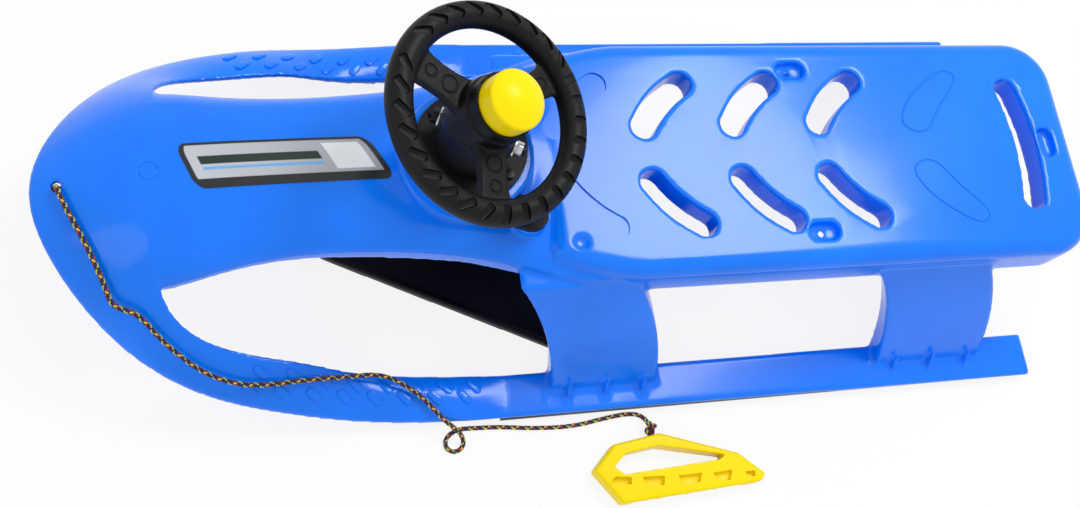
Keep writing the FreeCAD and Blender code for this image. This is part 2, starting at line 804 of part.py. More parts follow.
# Column brackets beside the boss

def bracket(side):
    """A flat arm from the boss to its screw pad."""
    pad = Vector(size.bracket_x, side * size.bracket_y, 0)
    root = Vector(size.bracket_x - size.bracket_length, side * size.bracket_root_y, 0)
    arm = upright(capsule(pad, root, size.bracket_width), size.bracket_seat_z,
                  size.bracket_seat_z + size.bracket_thickness)
    boss = Part.makeCylinder(size.boss_diameter / 2 + size.seat_clearance, 2 * size.overrun,
                             Vector(0, 0, -size.overrun))
    hole = Part.makeCylinder(size.screw_diameter / 2 + size.seat_clearance, size.overrun,
                             pad + Vector(0, 0, size.bracket_seat_z - size.overrun / 2))
    return arm.cut([on_axis(boss), hole])


shaped("column_brackets", Part.makeCompound([bracket(-1), bracket(1)]))
bracket_screws = []
for number, sign in enumerate((-1, 1)):
    spot = ("sizes.bracket_x", f"{sign} * sizes.bracket_y")
    head = primitive("Cylinder", f"bracket_screw_head_{number}",
                     plain(*spot, "sizes.bracket_seat_z + sizes.bracket_thickness"),
                     Radius="sizes.screw_head / 2", Height="sizes.screw_head_height")
    shank = primitive("Cylinder", f"bracket_screw_shank_{number}",
                      plain(*spot, "sizes.bracket_seat_z - sizes.screw_length"),
                      Radius="sizes.screw_diameter / 2",
                      Height="sizes.screw_length + sizes.bracket_thickness")
    bracket_screws.append(fuse(f"bracket_screw_{number}", [head, shank]))
node(group("bracket_screw_group", bracket_screws), "bracket_screws")


# Steering column, collar and pin

COLLAR_TOP = "(sizes.sleeve_bottom - sizes.moving_gap)"
PIN_STATION = COLLAR_TOP + " - sizes.collar_length / 2"
BOLT_HOLE = "sizes.bolt_diameter / 2 + sizes.seat_clearance"


def cross_hole(name, station, turn, radius):
    """A hole right across the steering axis, in the turned frame's own axes."""
    half = "sizes.wheel_diameter / 2"
    place = (f"placement(vector(0; 0; {station}); rotation(vector(0; 0; 1); {turn}))"
             f" * placement(vector(-1 * {half}; 0; 0); rotation(vector(0; 1; 0); 90))")
    return primitive("Cylinder", name, place, Radius=radius, Height="sizes.wheel_diameter")


PIN_HOLE = "sizes.pin_diameter / 2 + sizes.seat_clearance"
COLUMN_LENGTH = "sizes.column_top - sizes.column_bottom"
column_stock = primitive("Cylinder", "column_stock", plain(z="sizes.column_bottom"),
                         Radius="sizes.column_diameter / 2", Height=COLUMN_LENGTH)
column_cuts = [
    primitive("Cylinder", "column_bore", plain(z="sizes.column_bottom"), Height=COLUMN_LENGTH,
              Radius="sizes.column_diameter / 2 - sizes.column_wall"),
    cross_hole("column_wheel_hole", "sizes.wheel_bolt_station", "0", BOLT_HOLE),
    cross_hole("column_ski_hole", "sizes.ski_bolt_station", "90", BOLT_HOLE),
    cross_hole("column_pin_hole", PIN_STATION, "0", PIN_HOLE),
]
node(cut("column", column_stock, fuse("column_cuts", column_cuts), TURNED), "steering_column")

collar_stock = primitive("Cylinder", "collar_stock", plain(z=COLLAR_TOP + " - sizes.collar_length"),
                         Radius="sizes.collar_diameter / 2", Height="sizes.collar_length")
collar_cuts = [
    primitive("Cylinder", "collar_bore", plain(z=COLLAR_TOP + " - sizes.collar_length"),
              Radius="sizes.column_diameter / 2", Height="sizes.collar_length"),
    cross_hole("collar_pin_hole", PIN_STATION, "0", PIN_HOLE),
]
node(cut("collar", collar_stock, fuse("collar_cuts", collar_cuts), TURNED), "retaining_collar")
node(primitive("Cylinder", "collar_pin", across(TURNED, PIN_STATION, "0", "-1 * sizes.collar_diameter / 2"),
               Radius="sizes.pin_diameter / 2", Height="sizes.collar_diameter"), "collar_pin")


def cross_bolt(prefix, station, seat_reach, turn):
    """A bolt across the column with two washers and a nut."""
    seat_face = f"({seat_reach} + sizes.washer_thickness)"
    head = primitive("Prism", prefix + "_head",
                     across(TURNED, station, turn, f"-1 * {seat_face} - sizes.bolt_head_height"),
                     Circumradius="sizes.bolt_head / 2", Height="sizes.bolt_head_height")
    shank = primitive("Cylinder", prefix + "_shank", across(TURNED, station, turn, f"-1 * {seat_face}"),
                      Radius="sizes.bolt_diameter / 2",
                      Height=f"2 * {seat_face} + sizes.nut_height + sizes.bolt_tip")
    node(fuse(prefix + "_whole", [head, shank]), prefix)
    nut_stock = primitive("Prism", prefix + "_nut_stock", across(TURNED, station, turn, seat_face),
                          Circumradius="sizes.bolt_head / 2", Height="sizes.nut_height")
    nut_bore = primitive("Cylinder", prefix + "_nut_bore", across(TURNED, station, turn, seat_face),
                         Radius="sizes.bolt_diameter / 2", Height="sizes.nut_height")
    node(cut(prefix + "_nut_cut", nut_stock, nut_bore), prefix.replace("bolt", "nut"))
    washers = [tube(f"{prefix}_washer_{number}", across(TURNED, station, turn, start),
                    "sizes.washer_diameter / 2", BOLT_HOLE, "sizes.washer_thickness")
               for number, start in enumerate((f"-1 * {seat_face}", seat_reach))]
    node(group(prefix + "_washer_group", washers), prefix + "_washers")


cross_bolt("wheel_bolt", "sizes.wheel_bolt_station", "sizes.wheel_bolt_seat", "0")
cross_bolt("ski_bolt", "sizes.ski_bolt_station", "sizes.ski_bolt_seat", "-90")


# Steering wheel

def cross_rod(radius, station, half, turn):
    """A rod across the steering axis, in the turned frame's own axes."""
    along = Vector(math.cos(math.radians(turn)), math.sin(math.radians(turn)), 0)
    return Part.makeCylinder(radius, 2 * half, along * -half + Vector(0, 0, station), along)


def spoke(turn):
    """A waisted spoke from the hub to the rim."""
    rim = (size.wheel_diameter - size.rim_section) / 2
    wide = size.spoke_width / 2
    middle = rim * spoke_waist_share
    bottom = size.wheel_station - size.spoke_thickness
    wire = Part.Wire([
        Part.Arc(Vector(0, wide, bottom), Vector(middle, size.spoke_waist / 2, bottom),
                 Vector(rim, wide, bottom)).toShape(),
        Part.makeLine(Vector(rim, wide, bottom), Vector(rim, -wide, bottom)),
        Part.Arc(Vector(rim, -wide, bottom), Vector(middle, -size.spoke_waist / 2, bottom),
                 Vector(0, -wide, bottom)).toShape(),
        Part.makeLine(Vector(0, -wide, bottom), Vector(0, wide, bottom)),
    ])
    bar = prism(wire, Vector(0, 0, size.spoke_thickness))
    bar.rotate(Vector(0, 0, 0), Vector(0, 0, 1), turn)
    return bar


spoke_waist_share = 0.6
spoke_count = 3


def steering_wheel():
    """The moulded wheel: an upright hub on the column, and the leaned head with rim, spokes and cup."""
    rim = Part.makeTorus((size.wheel_diameter - size.rim_section) / 2, size.rim_section / 2,
                         Vector(0, 0, size.wheel_station))
    foot = size.boss_station + size.flange_thickness + size.moving_gap
    hub = Part.makeCylinder(size.hub_diameter / 2, size.wheel_pivot - foot, Vector(0, 0, foot))
    neck = Part.makeCylinder(size.neck_diameter / 2, size.hub_top + size.neck_depth,
                             Vector(0, 0, -size.neck_depth))
    cup_bore = size.cap_diameter / 2 + size.moving_gap
    cup = Part.makeCylinder(cup_bore + size.cup_wall, size.cup_height + size.cup_wall,
                            Vector(0, 0, size.hub_top - size.cup_wall))
    spokes = [spoke(size.spoke_turn + index * 360 / spoke_count) for index in range(spoke_count)]
    rod = cross_rod(size.bolt_boss / 2, size.wheel_bolt_station, size.wheel_bolt_seat, 0)
    head = rim.fuse([neck, cup] + spokes)
    whole = placed(head, lean_frame).fuse([hub, rod])
    cuts = [
        placed(Part.makeCylinder(cup_bore, size.overrun, Vector(0, 0, size.hub_top)), lean_frame),
        Part.makeCylinder(size.column_diameter / 2 + size.running_clearance, size.column_top - foot,
                          Vector(0, 0, foot)),
        cross_rod(size.bolt_diameter / 2 + size.seat_clearance, size.wheel_bolt_station,
                  size.hub_diameter, 0),
    ]
    return whole.cut(cuts)


shaped("steering_wheel", steering_wheel(), turned_frame)


# Horn

BASE_TOP = "(sizes.hub_top + sizes.horn_base_thickness)"
disc = primitive("Cylinder", "horn_disc", plain(z="sizes.hub_top"), Height="sizes.horn_base_thickness",
                 Radius="sizes.cap_diameter / 2")
post = primitive("Cylinder", "horn_post", plain(z=BASE_TOP), Radius="sizes.post_diameter / 2",
                 Height="sizes.post_height")
node(fuse("horn_stand", [disc, post], WHEEL), "horn_base")
cap_bottom = size.hub_top + size.horn_base_thickness + size.horn_travel + size.moving_gap
node(tube("horn_bellows_tube", shift(WHEEL, z=BASE_TOP), "sizes.bellows_diameter / 2",
          "sizes.bellows_diameter / 2 - sizes.bellows_wall",
          "sizes.horn_travel + sizes.moving_gap + sizes.cap_height - sizes.cap_dome - sizes.cap_wall"),
     "horn_bellows")


def dome(radius, bottom, height, rise):
    """A round block with a domed top."""
    shoulder = bottom + height - rise
    ball = (radius * radius + rise * rise) / (2 * rise)
    turn = math.asin(radius / ball) / 2
    middle = Vector(ball * math.sin(turn), 0, bottom + height - ball * (1 - math.cos(turn)))
    wire = Part.Wire([
        Part.makeLine(Vector(0, 0, bottom), Vector(radius, 0, bottom)),
        Part.makeLine(Vector(radius, 0, bottom), Vector(radius, 0, shoulder)),
        Part.Arc(Vector(radius, 0, shoulder), middle, Vector(0, 0, bottom + height)).toShape(),
        Part.makeLine(Vector(0, 0, bottom + height), Vector(0, 0, bottom)),
    ])
    return Part.Face(wire).revolve(Vector(0, 0, 0), Vector(0, 0, 1), 360)


def horn_cap():
    """The domed push cap, guided on the post by a sleeve inside it."""
    radius = size.cap_diameter / 2
    outer = dome(radius, cap_bottom, size.cap_height, size.cap_dome)
    inner = dome(radius - size.cap_wall, cap_bottom - size.overrun,
                 size.cap_height - size.cap_wall + size.overrun, size.cap_dome - size.cap_wall)
    guide = size.post_diameter / 2 + size.running_clearance
    reach = size.cap_height - size.horn_travel - size.cap_wall
    sleeve_bottom = cap_bottom + size.cap_height - size.cap_wall / 2 - reach
    boss = Part.makeCylinder(guide + size.guide_wall, reach, Vector(0, 0, sleeve_bottom))
    bore = Part.makeCylinder(guide, reach - size.cap_wall, Vector(0, 0, sleeve_bottom))
    return outer.cut(inner).fuse(boss).cut(bore)


shaped("horn_cap", horn_cap(), turned_frame.multiply(lean_frame))


# Steering ski

def ski_outline(middle_x):
    """The ski's plan outline: a tapered round nose and rounded rear corners."""
    half = size.ski_width / 2
    length = size.ski_nose_length
    start = middle_x - size.ski_front - size.ski_tip_length + length
    rear = middle_x + size.ski_rear
    corner = size.ski_corner_radius
    lean = corner * (1 - math.sqrt(1 / 2))
    radius = (length ** 2 + half ** 2) / (2 * half)

    def nose(share):
        y = share * half
        return Vector(start - math.sqrt(radius ** 2 - (y + radius - half) ** 2), y, 0)

    flank = nose(nose_flank_share)
    front = nose(nose_round_share)
    tip = front + Vector(-nose_round_share * half * nose_tip_share, -front.y, 0)
    right = [Vector(point.x, -point.y, 0) for point in (front, flank)]
    return Part.Wire([
        Part.Arc(Vector(start, half, 0), flank, front).toShape(),
        Part.Arc(front, tip, right[0]).toShape(),
        Part.Arc(right[0], right[1], Vector(start, -half, 0)).toShape(),
        Part.makeLine(Vector(start, -half, 0), Vector(rear - corner, -half, 0)),
        Part.Arc(Vector(rear - corner, -half, 0), Vector(rear - lean, -half + lean, 0),
                 Vector(rear, -half + corner, 0)).toShape(),
        Part.makeLine(Vector(rear, -half + corner, 0), Vector(rear, half - corner, 0)),
        Part.Arc(Vector(rear, half - corner, 0), Vector(rear - lean, half - lean, 0),
                 Vector(rear - corner, half, 0)).toShape(),
        Part.makeLine(Vector(rear - corner, half, 0), Vector(start, half, 0)),
    ])


nose_flank_share = 0.78
nose_round_share = 0.30
nose_tip_share = 0.55


def ski_profile(middle_x, thickness):
    """The ski's side outline: flat, with an upturned tip."""
    bend = middle_x - size.ski_front
    rear = middle_x + size.ski_rear
    ball = (size.ski_tip_length ** 2 + size.ski_tip_rise ** 2) / (2 * size.ski_tip_rise)
    turn = math.asin(size.ski_tip_length / ball)
    bottom = size.ski_bottom

    def at(radius, angle):
        return Vector(bend - radius * math.sin(angle), 0, bottom + ball - radius * math.cos(angle))

    upper = ball - thickness
    return Part.Wire([
        Part.makeLine(Vector(rear, 0, bottom), at(ball, 0)),
        Part.Arc(at(ball, 0), at(ball, turn / 2), at(ball, turn)).toShape(),
        Part.makeLine(at(ball, turn), at(upper, turn)),
        Part.Arc(at(upper, turn), at(upper, turn / 2), at(upper, 0)).toShape(),
        Part.makeLine(at(upper, 0), Vector(rear, 0, bottom + thickness)),
        Part.makeLine(Vector(rear, 0, bottom + thickness), Vector(rear, 0, bottom)),
    ])


def steering_ski():
    """The ski plate with rails, keel, web and the socket that takes the column."""
    drop = size.axis_z - size.ski_bottom
    middle_x = size.axis_x
    wide = Vector(0, size.ski_width + size.overrun, 0)
    thick = size.ski_thickness

    def band(thickness):
        wire = ski_profile(middle_x, thickness)
        wire.translate(wide * (-1 / 2))
        return prism(wire, wide)

    def plan(inset):
        wire = ski_outline(middle_x)
        if inset:
            wire = wire.makeOffset2D(-inset)
        return upright(wire, -size.overrun, size.axis_z)

    plate = band(thick).common(plan(0))
    rails = band(thick + size.ski_rail_height).common(plan(0)).cut(plan(size.ski_rail_width))
    keel = Part.makeBox(size.keel_length, size.keel_width, size.keel_height + thick / 2,
                        Vector(middle_x - size.ski_front / 2, -size.keel_width / 2,
                               size.ski_bottom - size.keel_height))
    socket = on_axis(Part.makeCylinder(size.socket_diameter / 2, size.socket_top + drop,
                                       Vector(0, 0, -drop)))
    rod = on_axis(cross_rod(size.bolt_boss / 2, size.ski_bolt_station, size.ski_bolt_seat, 90))
    web_top = size.ski_bottom + drop * web_height_share
    web = prism(polygon([
        Vector(middle_x - size.ski_front, -size.keel_width / 2, size.ski_bottom),
        Vector(middle_x + size.ski_rear * web_length_share, -size.keel_width / 2, size.ski_bottom),
        Vector(middle_x + size.socket_diameter / 2, -size.keel_width / 2, web_top),
        Vector(middle_x, -size.keel_width / 2, web_top),
    ]), Vector(0, size.keel_width, 0))
    whole = plate.fuse([rails, keel, socket, rod, web])
    cuts = [
        on_axis(Part.makeCylinder(size.column_diameter / 2 + size.running_clearance,
                                  -size.column_bottom, Vector(0, 0, size.column_bottom))),
        on_axis(cross_rod(size.bolt_diameter / 2 + size.seat_clearance, size.ski_bolt_station,
                          size.ski_width, 90)),
    ]
    whole = whole.cut(cuts)
    whole.rotate(Vector(size.axis_x, 0, 0), Vector(0, 0, 1), size.rest_turn)
    return whole


web_height_share = 0.30
web_length_share = 0.55
shaped("steering_ski", steering_ski())


# Pull handle

# Corners as shares of the handle's length and depth, the grip bar along the near edge.
HANDLE_SHARES = [(0.13, 0.0), (0.96, 0.0), (1.0, 0.10), (0.86, 0.50), (0.42, 1.0), (0.14, 0.93), (0.0, 0.58)]
OPENING_SHARES = [(0.17, 0.44), (0.74, 0.44), (0.78, 0.50), (0.40, 0.80), (0.20, 0.76), (0.12, 0.58)]


def handle_prism(shares):
    """A prism on an outline given in shares of the handle's length and depth."""
    points = [Vector((x - 1 / 2) * size.handle_length, (y - 1 / 2) * size.handle_depth, 0) for x, y in shares]
    return prism(polygon(points), Vector(0, 0, size.handle_thickness))


def pull_handle():
    """A flat closed handle with finger hollows low on its grip bar."""
    stock = handle_prism(HANDLE_SHARES)
    stock = stock.makeFillet(size.handle_round, stock.Edges)
    cuts = [handle_prism(OPENING_SHARES)]
    scallop = (size.finger_pitch ** 2 / 4 + size.finger_depth ** 2) / (2 * size.finger_depth)
    for share in finger_shares:
        centre = Vector(share * size.finger_pitch, size.finger_depth - scallop - size.handle_depth / 2, 0)
        cuts.append(Part.makeCylinder(scallop, size.finger_height, centre))
    return stock.cut(cuts)


finger_shares = (-1.3, -0.3, 0.7, 1.7)
handle_frame = FreeCAD.Placement(Vector(size.handle_x, size.handle_y, 0),
                                 FreeCAD.Rotation(Vector(0, 0, 1), size.handle_turn))
handle_piece = shaped("pull_handle", pull_handle(), handle_frame)


# Tow rope and its knots

# The rope's route: up through the nose hole, down the bow, over the near runner's edge,
# one small loop on the floor, then along the runner to the handle.
ROPE_ROUTE = [
    (-477, 0, 129), (-477, 0, 150), (-470, -20, 150), (-458, -45, 148.5), (-448, -68, 142.5),
    (-441, -87, 132.5), (-436, -103, 123), (-416, -109, 122.5), (-397, -131, 101), (-366, -154, 78),
    (-336, -164, 68.5), (-310, -165, 65), (-283, -162, 61), (-243, -159, 49), (-204, -156, 39),
    (-172, -178, 32.5), (-154, -199, 26), (-145, -206, 20), (-138, -210, 13.5), (-132, -216, 7.5),
    (-131, -224, 3.2), (-139, -230, 3), (-148, -226, 3), (-149, -218, 3), (-143, -211, 3),
    (-133, -207.5, 3), (-119, -208, 3), (-93, -209, 3), (-60, -213.5, 3), (-20, -215, 3),
    (14, -209.5, 3), (36, -207.2, 3), (49, -209, 3.4), (56, -216, 5), (57.5, -225, 8),
]
bend_share = 0.45


def rope_path(points):
    """Straight runs joined by tangent arcs as large as the runs allow, with the arcs' radii."""
    edges = []
    radii = []
    last = points[0]
    for before, corner, after in zip(points, points[1:], points[2:]):
        arrive = corner.sub(before)
        leave = after.sub(corner)
        trim = bend_share * min(arrive.Length, leave.Length)
        arrive.normalize()
        leave.normalize()
        half_turn = arrive.getAngle(leave) / 2
        radius = trim / math.tan(half_turn)
        inward = leave.sub(arrive)
        inward.normalize()
        begin = corner - arrive * trim
        finish = corner + leave * trim
        middle = corner + inward * (radius / math.cos(half_turn) - radius)
        edges.append(Part.makeLine(last, begin))
        edges.append(Part.Arc(begin, middle, finish).toShape())
        radii.append(radius)
        last = finish
    edges.append(Part.makeLine(last, points[-1]))
    return Part.Wire(edges), radii


def tow_rope():
    """A round tube along the route, its volume compared with its section times its length."""
    points = [Vector(*point) for point in ROPE_ROUTE]
    path, radii = rope_path(points)
    section = math.pi * size.rope_diameter ** 2 / 4
    circle = Part.makeCircle(size.rope_diameter / 2, points[0], points[1].sub(points[0]))
    rope = path.makePipeShell([Part.Wire([circle])], True, False)
    print("rope length", round(path.Length, 1), "volume ratio", round(rope.Volume / (section * path.Length), 4))
    print("rope radii", [round(radius, 1) for radius in radii])
    return rope


def knot(diameter, centre, tools):
    """A round knot, cut to sit against what passes through it or lies beside it."""
    return Part.makeSphere(diameter / 2, centre).cut(tools)


rope_shape = tow_rope()
shaped("tow_rope", rope_shape)
rope_start = Vector(*ROPE_ROUTE[0])
rope_end = Vector(*ROPE_ROUTE[-1])
stopper_centre = rope_start - Vector(0, 0, size.rope_diameter / 4)
shaped("stopper_knot", knot(size.stopper_knot_diameter, stopper_centre, [rope_shape, body_piece.Shape]))
shaped("handle_knot", knot(size.handle_knot_diameter,
                           Vector(rope_end.x, rope_end.y, size.handle_knot_diameter / 2),
                           [rope_shape, handle_piece.Shape]))


def export():
    """Check every object, then write each piece to its own file."""
    doc.recompute()
    bad = [item.Name for item in doc.Objects if {"Invalid", "Error"} & set(item.State)]
    bad += [item.Label for item in nodes if item.Shape.isNull() or not item.Shape.isValid()]
    if bad:
        raise RuntimeError("failed objects: " + ", ".join(bad))
    os.makedirs("parts", exist_ok=True)
    for item in nodes:
        item.Shape.exportStep(f"parts/{item.Label}.step")
        print(item.Label, len(item.Shape.Solids), round(item.Shape.Volume))


export()
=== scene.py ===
"""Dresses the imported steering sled: moulding, wheel, ski, horn, hardware, rope, handle and stage."""

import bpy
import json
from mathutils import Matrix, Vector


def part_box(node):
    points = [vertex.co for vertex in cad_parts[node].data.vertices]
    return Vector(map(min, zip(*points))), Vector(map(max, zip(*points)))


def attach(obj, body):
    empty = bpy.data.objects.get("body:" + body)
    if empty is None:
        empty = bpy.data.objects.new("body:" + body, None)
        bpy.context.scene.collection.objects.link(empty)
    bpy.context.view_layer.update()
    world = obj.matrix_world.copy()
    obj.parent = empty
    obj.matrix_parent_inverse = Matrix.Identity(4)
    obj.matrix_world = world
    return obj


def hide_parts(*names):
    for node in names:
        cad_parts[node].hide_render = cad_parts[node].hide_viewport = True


bl_info = {
    "name": "Steering sled",
    "version": (1, 0, 0),
    "blender": (4, 5, 0),
    "location": "3D View > Sidebar > Sled",
    "description": "Builds the finished surfaces of a moulded steering sled around its solid model",
    "category": "Object",
}

import json
import math

import bpy
from bpy.props import FloatProperty, FloatVectorProperty, IntProperty, PointerProperty
from mathutils import Matrix, Vector
from mathutils.bvhtree import BVHTree

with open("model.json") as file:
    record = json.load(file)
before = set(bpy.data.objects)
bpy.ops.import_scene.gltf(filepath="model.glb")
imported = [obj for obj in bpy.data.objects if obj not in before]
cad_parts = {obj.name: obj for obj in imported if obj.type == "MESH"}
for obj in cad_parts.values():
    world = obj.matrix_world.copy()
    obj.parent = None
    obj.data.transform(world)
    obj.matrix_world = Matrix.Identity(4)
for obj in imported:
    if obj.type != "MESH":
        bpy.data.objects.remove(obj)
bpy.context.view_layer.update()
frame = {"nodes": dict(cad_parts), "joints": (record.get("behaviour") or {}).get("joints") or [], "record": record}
MM = 0.001
BODY_OF = {node: body for body, members in frame["record"]["behaviour"]["bodies"].items() for node in members}
STEERING_JOINT = next(joint for joint in frame["joints"] if joint["name"] == "steering_turn")
FULL_TURN = 2 * math.pi

# The upright column's frame as turned at rest, and the wheel's leaned frame on top of it.
REST_TURN = math.radians(-26)
WHEEL_LEAN = math.radians(22)
WHEEL_PIVOT = 80 * MM
COLUMN_FRAME = Matrix.Translation(STEERING_JOINT["pos_m"]) @ Matrix.Rotation(REST_TURN, 4, "Z")
LEAN_FRAME = Matrix.Translation((0, 0, WHEEL_PIVOT)) @ Matrix.Rotation(WHEEL_LEAN, 4, "Y")
WHEEL_FRAME = COLUMN_FRAME @ LEAN_FRAME


# Properties


def length_property(name, description, millimetres):
    """A size in metres, given in millimetres."""
    return FloatProperty(name=name, description=description, default=millimetres * MM, unit="LENGTH",
                         precision=5)


def colour_property(name, description, colour):
    """A linear colour."""
    return FloatVectorProperty(name=name, description=description, default=colour, subtype="COLOR",
                               min=0, max=1)


class SledForms(bpy.types.PropertyGroup):
    """Sizes of the finished surfaces."""

    body_voxel: length_property("Body voxel", "Grid of the body's finished surface", 2.0)
    wheel_voxel: length_property("Wheel voxel", "Grid of the wheel's finished surface", 1.2)
    small_voxel: length_property("Small voxel", "Grid of small moulded pieces", 1.0)
    ski_voxel: length_property("Ski voxel", "Grid of the ski's finished surface", 1.6)
    nub_length: length_property("Nub length", "Length of a foot nub", 17)
    nub_width: length_property("Nub width", "Width of a foot nub", 8)
    nub_height: length_property("Nub height", "Height of a foot nub above its surface", 1.7)
    rim_radius: length_property("Rim radius", "From the axis to the middle of the rim", 83.5)
    rim_section: length_property("Rim section", "Radius of the rim's section", 11.5)
    rim_station: length_property("Rim station", "Place of the rim along the wheel's axis", 10)
    spoke_width: length_property("Spoke width", "Width of a spoke at its ends", 33)
    spoke_waist: length_property("Spoke waist", "Width of a spoke at its middle", 25)
    pocket_count: IntProperty(name="Grip pockets", description="Pockets round the rim", default=28, min=1)
    pocket_width: length_property("Pocket width", "Width of a grip pocket along the rim", 7.5)
    pocket_length: length_property("Pocket length", "Length of a grip pocket across the rim", 16.5)
    pocket_depth: length_property("Pocket depth", "Depth of a grip pocket", 4.2)
    cap_radius: length_property("Cap radius", "Radius of the horn cap", 25.5)
    rope_diameter: length_property("Rope diameter", "Diameter of the tow rope", 5)
    braid_pitch: length_property("Braid pitch", "Length in which a strand goes once round the rope", 14)


class SledFinish(bpy.types.PropertyGroup):
    """Colours of the finishes."""

    blue: colour_property("Blue", "Body plastic", (0.001, 0.185, 0.93))
    black: colour_property("Black", "Wheel and ski plastic", (0.004, 0.004, 0.005))
    yellow: colour_property("Yellow", "Horn cap and handle", (0.96, 0.72, 0.001))
    white: colour_property("White", "Bushes and horn base", (0.78, 0.78, 0.74))
    rubber: colour_property("Rubber", "Horn bellows", (0.02, 0.018, 0.017))
    steel: colour_property("Steel", "Runner strips and column", (0.03, 0.03, 0.034))
    zinc: colour_property("Zinc", "Bolts, nuts, washers and screws", (0.72, 0.73, 0.74))
    navy: colour_property("Navy", "Rope's ground yarn", (0.006, 0.01, 0.075))
    straw: colour_property("Straw", "Rope's yellow fleck yarn", (0.86, 0.72, 0.04))
    red: colour_property("Red", "Rope's red fleck yarn", (0.66, 0.015, 0.012))
    silver: colour_property("Silver", "Label's field", (0.62, 0.64, 0.68))


def forms():
    """The sizes in use."""
    return bpy.context.scene.sled_forms


def finish():
    """The colours in use."""
    return bpy.context.scene.sled_finish


# Shader maths


class Wire:
    """A shader socket. Operators on wires add Math nodes, and node adds any other node."""

    def __init__(self, tree, socket=None):
        self.tree = tree
        self.socket = socket

    def node(self, kind, settings=None, inputs=None, output=0):
        """Add a node with its settings, then its socket values or links, and return one of its outputs."""
        made = self.tree.nodes.new("ShaderNode" + kind)
        for name, value in (settings or {}).items():
            setattr(made, name, value)
        for name, value in (inputs or {}).items():
            if isinstance(value, Wire):
                self.tree.links.new(value.socket, made.inputs[name])
            else:
                made.inputs[name].default_value = value
        return Wire(self.tree, made.outputs[output] if made.outputs else None)

    def maths(self, operation, *values):
        """A Math node on values and wires."""
        return self.node("Math", {"operation": operation}, dict(enumerate(values)))

    def __add__(self, other):
        return self.maths("ADD", self, other)

    def __sub__(self, other):
        return self.maths("SUBTRACT", self, other)

    def __rsub__(self, other):
        return self.maths("SUBTRACT", other, self)

    def __mul__(self, other):
        return self.maths("MULTIPLY", self, other)

    __radd__ = __add__
    __rmul__ = __mul__

    def step(self, low, high):
        """0 below low, 1 above high, smooth between."""
        return self.node("MapRange", {"interpolation_type": "SMOOTHSTEP"},
                         {"Value": self, "From Min": low, "From Max": high})

    def mix(self, low, high):
        """A colour between two, by this wire."""
        return self.node("Mix", {"data_type": "RGBA"}, {0: self, 6: colour4(low), 7: colour4(high)}, output=2)


def colour4(colour):
    """A colour with its alpha, or a wire as it is."""
    return colour if isinstance(colour, Wire) else (*tuple(colour)[:3], 1.0)


def material(name, recipe):
    """A new material whose recipe sets its Principled shader from a tree."""
    made = bpy.data.materials.new(name)
    made.use_nodes = True
    made.node_tree.nodes.clear()
    tree = Wire(made.node_tree)
    shader = recipe(tree)
    tree.node("OutputMaterial", None, {"Surface": shader})
    return made


def noise(tree, scale, detail=2.0):
    """Noise of a scale in features per metre, about 0 to 1."""
    place = tree.node("TexCoord", output=3)
    return tree.node("TexNoise", None, {"Vector": place, "Scale": scale, "Detail": detail})


def bump(tree, height, distance):
    """A bumped normal from a height in 0 to 1 and its depth in metres."""
    return tree.node("Bump", None, {"Height": height, "Distance": distance})


def plastic(name, colour, roughness, coat, grain_scale, grain_depth, drift=0.08, ior=1.4):
    """Moulded plastic: slight colour drift, uneven gloss and a fine grain."""

    def recipe(tree):
        cloud = noise(tree, 9.0, 3.0)
        darker = [channel * (1 - drift) for channel in colour]
        lighter = [min(1.0, channel * (1 + drift)) for channel in colour]
        return tree.node("BsdfPrincipled", None, {
            "Base Color": cloud.step(0.25, 0.75).mix(darker, lighter),
            "Roughness": roughness + cloud * 0.05,
            "Normal": bump(tree, noise(tree, grain_scale), grain_depth),
            "Coat Weight": coat,
            "Coat Roughness": 0.1,
            "IOR": ior,
        })

    return material(name, recipe)


def metal(name, colour, roughness, streak_scale):
    """Plated or rolled metal with drawn streaks, cloudy gloss and dull specks."""

    def recipe(tree):
        place = tree.node("TexCoord", output=3)
        drawn = tree.node("Mapping", None, {"Vector": place, "Scale": (0.06, 1.0, 1.0)})
        streak = tree.node("TexNoise", None, {"Vector": drawn, "Scale": streak_scale, "Detail": 4.0})
        speck = noise(tree, 700.0, 3.0).step(0.58, 0.75)
        dull = [channel * 0.62 for channel in colour]
        return tree.node("BsdfPrincipled", None, {
            "Base Color": (streak * 0.6 + speck * 0.5).mix(colour, dull),
            "Metallic": 1.0,
            "Roughness": roughness + streak * 0.15 + speck * 0.12,
            "Normal": bump(tree, streak, 0.00004),
        })

    return material(name, recipe)


def rope_yarn(tree):
    """Braided yarn: each strand's own colour, fine fibres along it and dull sheen."""
    place = tree.node("UVMap", {"uv_map": "strand"})
    fibre_place = tree.node("Mapping", None, {"Vector": place, "Scale": (60.0, 9.0, 1.0)})
    fibre = tree.node("TexNoise", None, {"Vector": fibre_place, "Scale": 3.0, "Detail": 3.0})
    yarn = tree.node("Attribute", {"attribute_name": "yarn"})
    dark = tree.node("Mix", {"data_type": "RGBA", "blend_type": "MULTIPLY"},
                     {0: 1.0, 6: yarn, 7: (0.45, 0.45, 0.45, 1.0)}, output=2)
    return tree.node("BsdfPrincipled", None, {
        "Base Color": fibre.step(0.3, 0.65).mix(dark, yarn),
        "Roughness": 0.62 + fibre * 0.2,
        "Normal": bump(tree, fibre, 0.0002),
        "Sheen Weight": 0.25,
    })


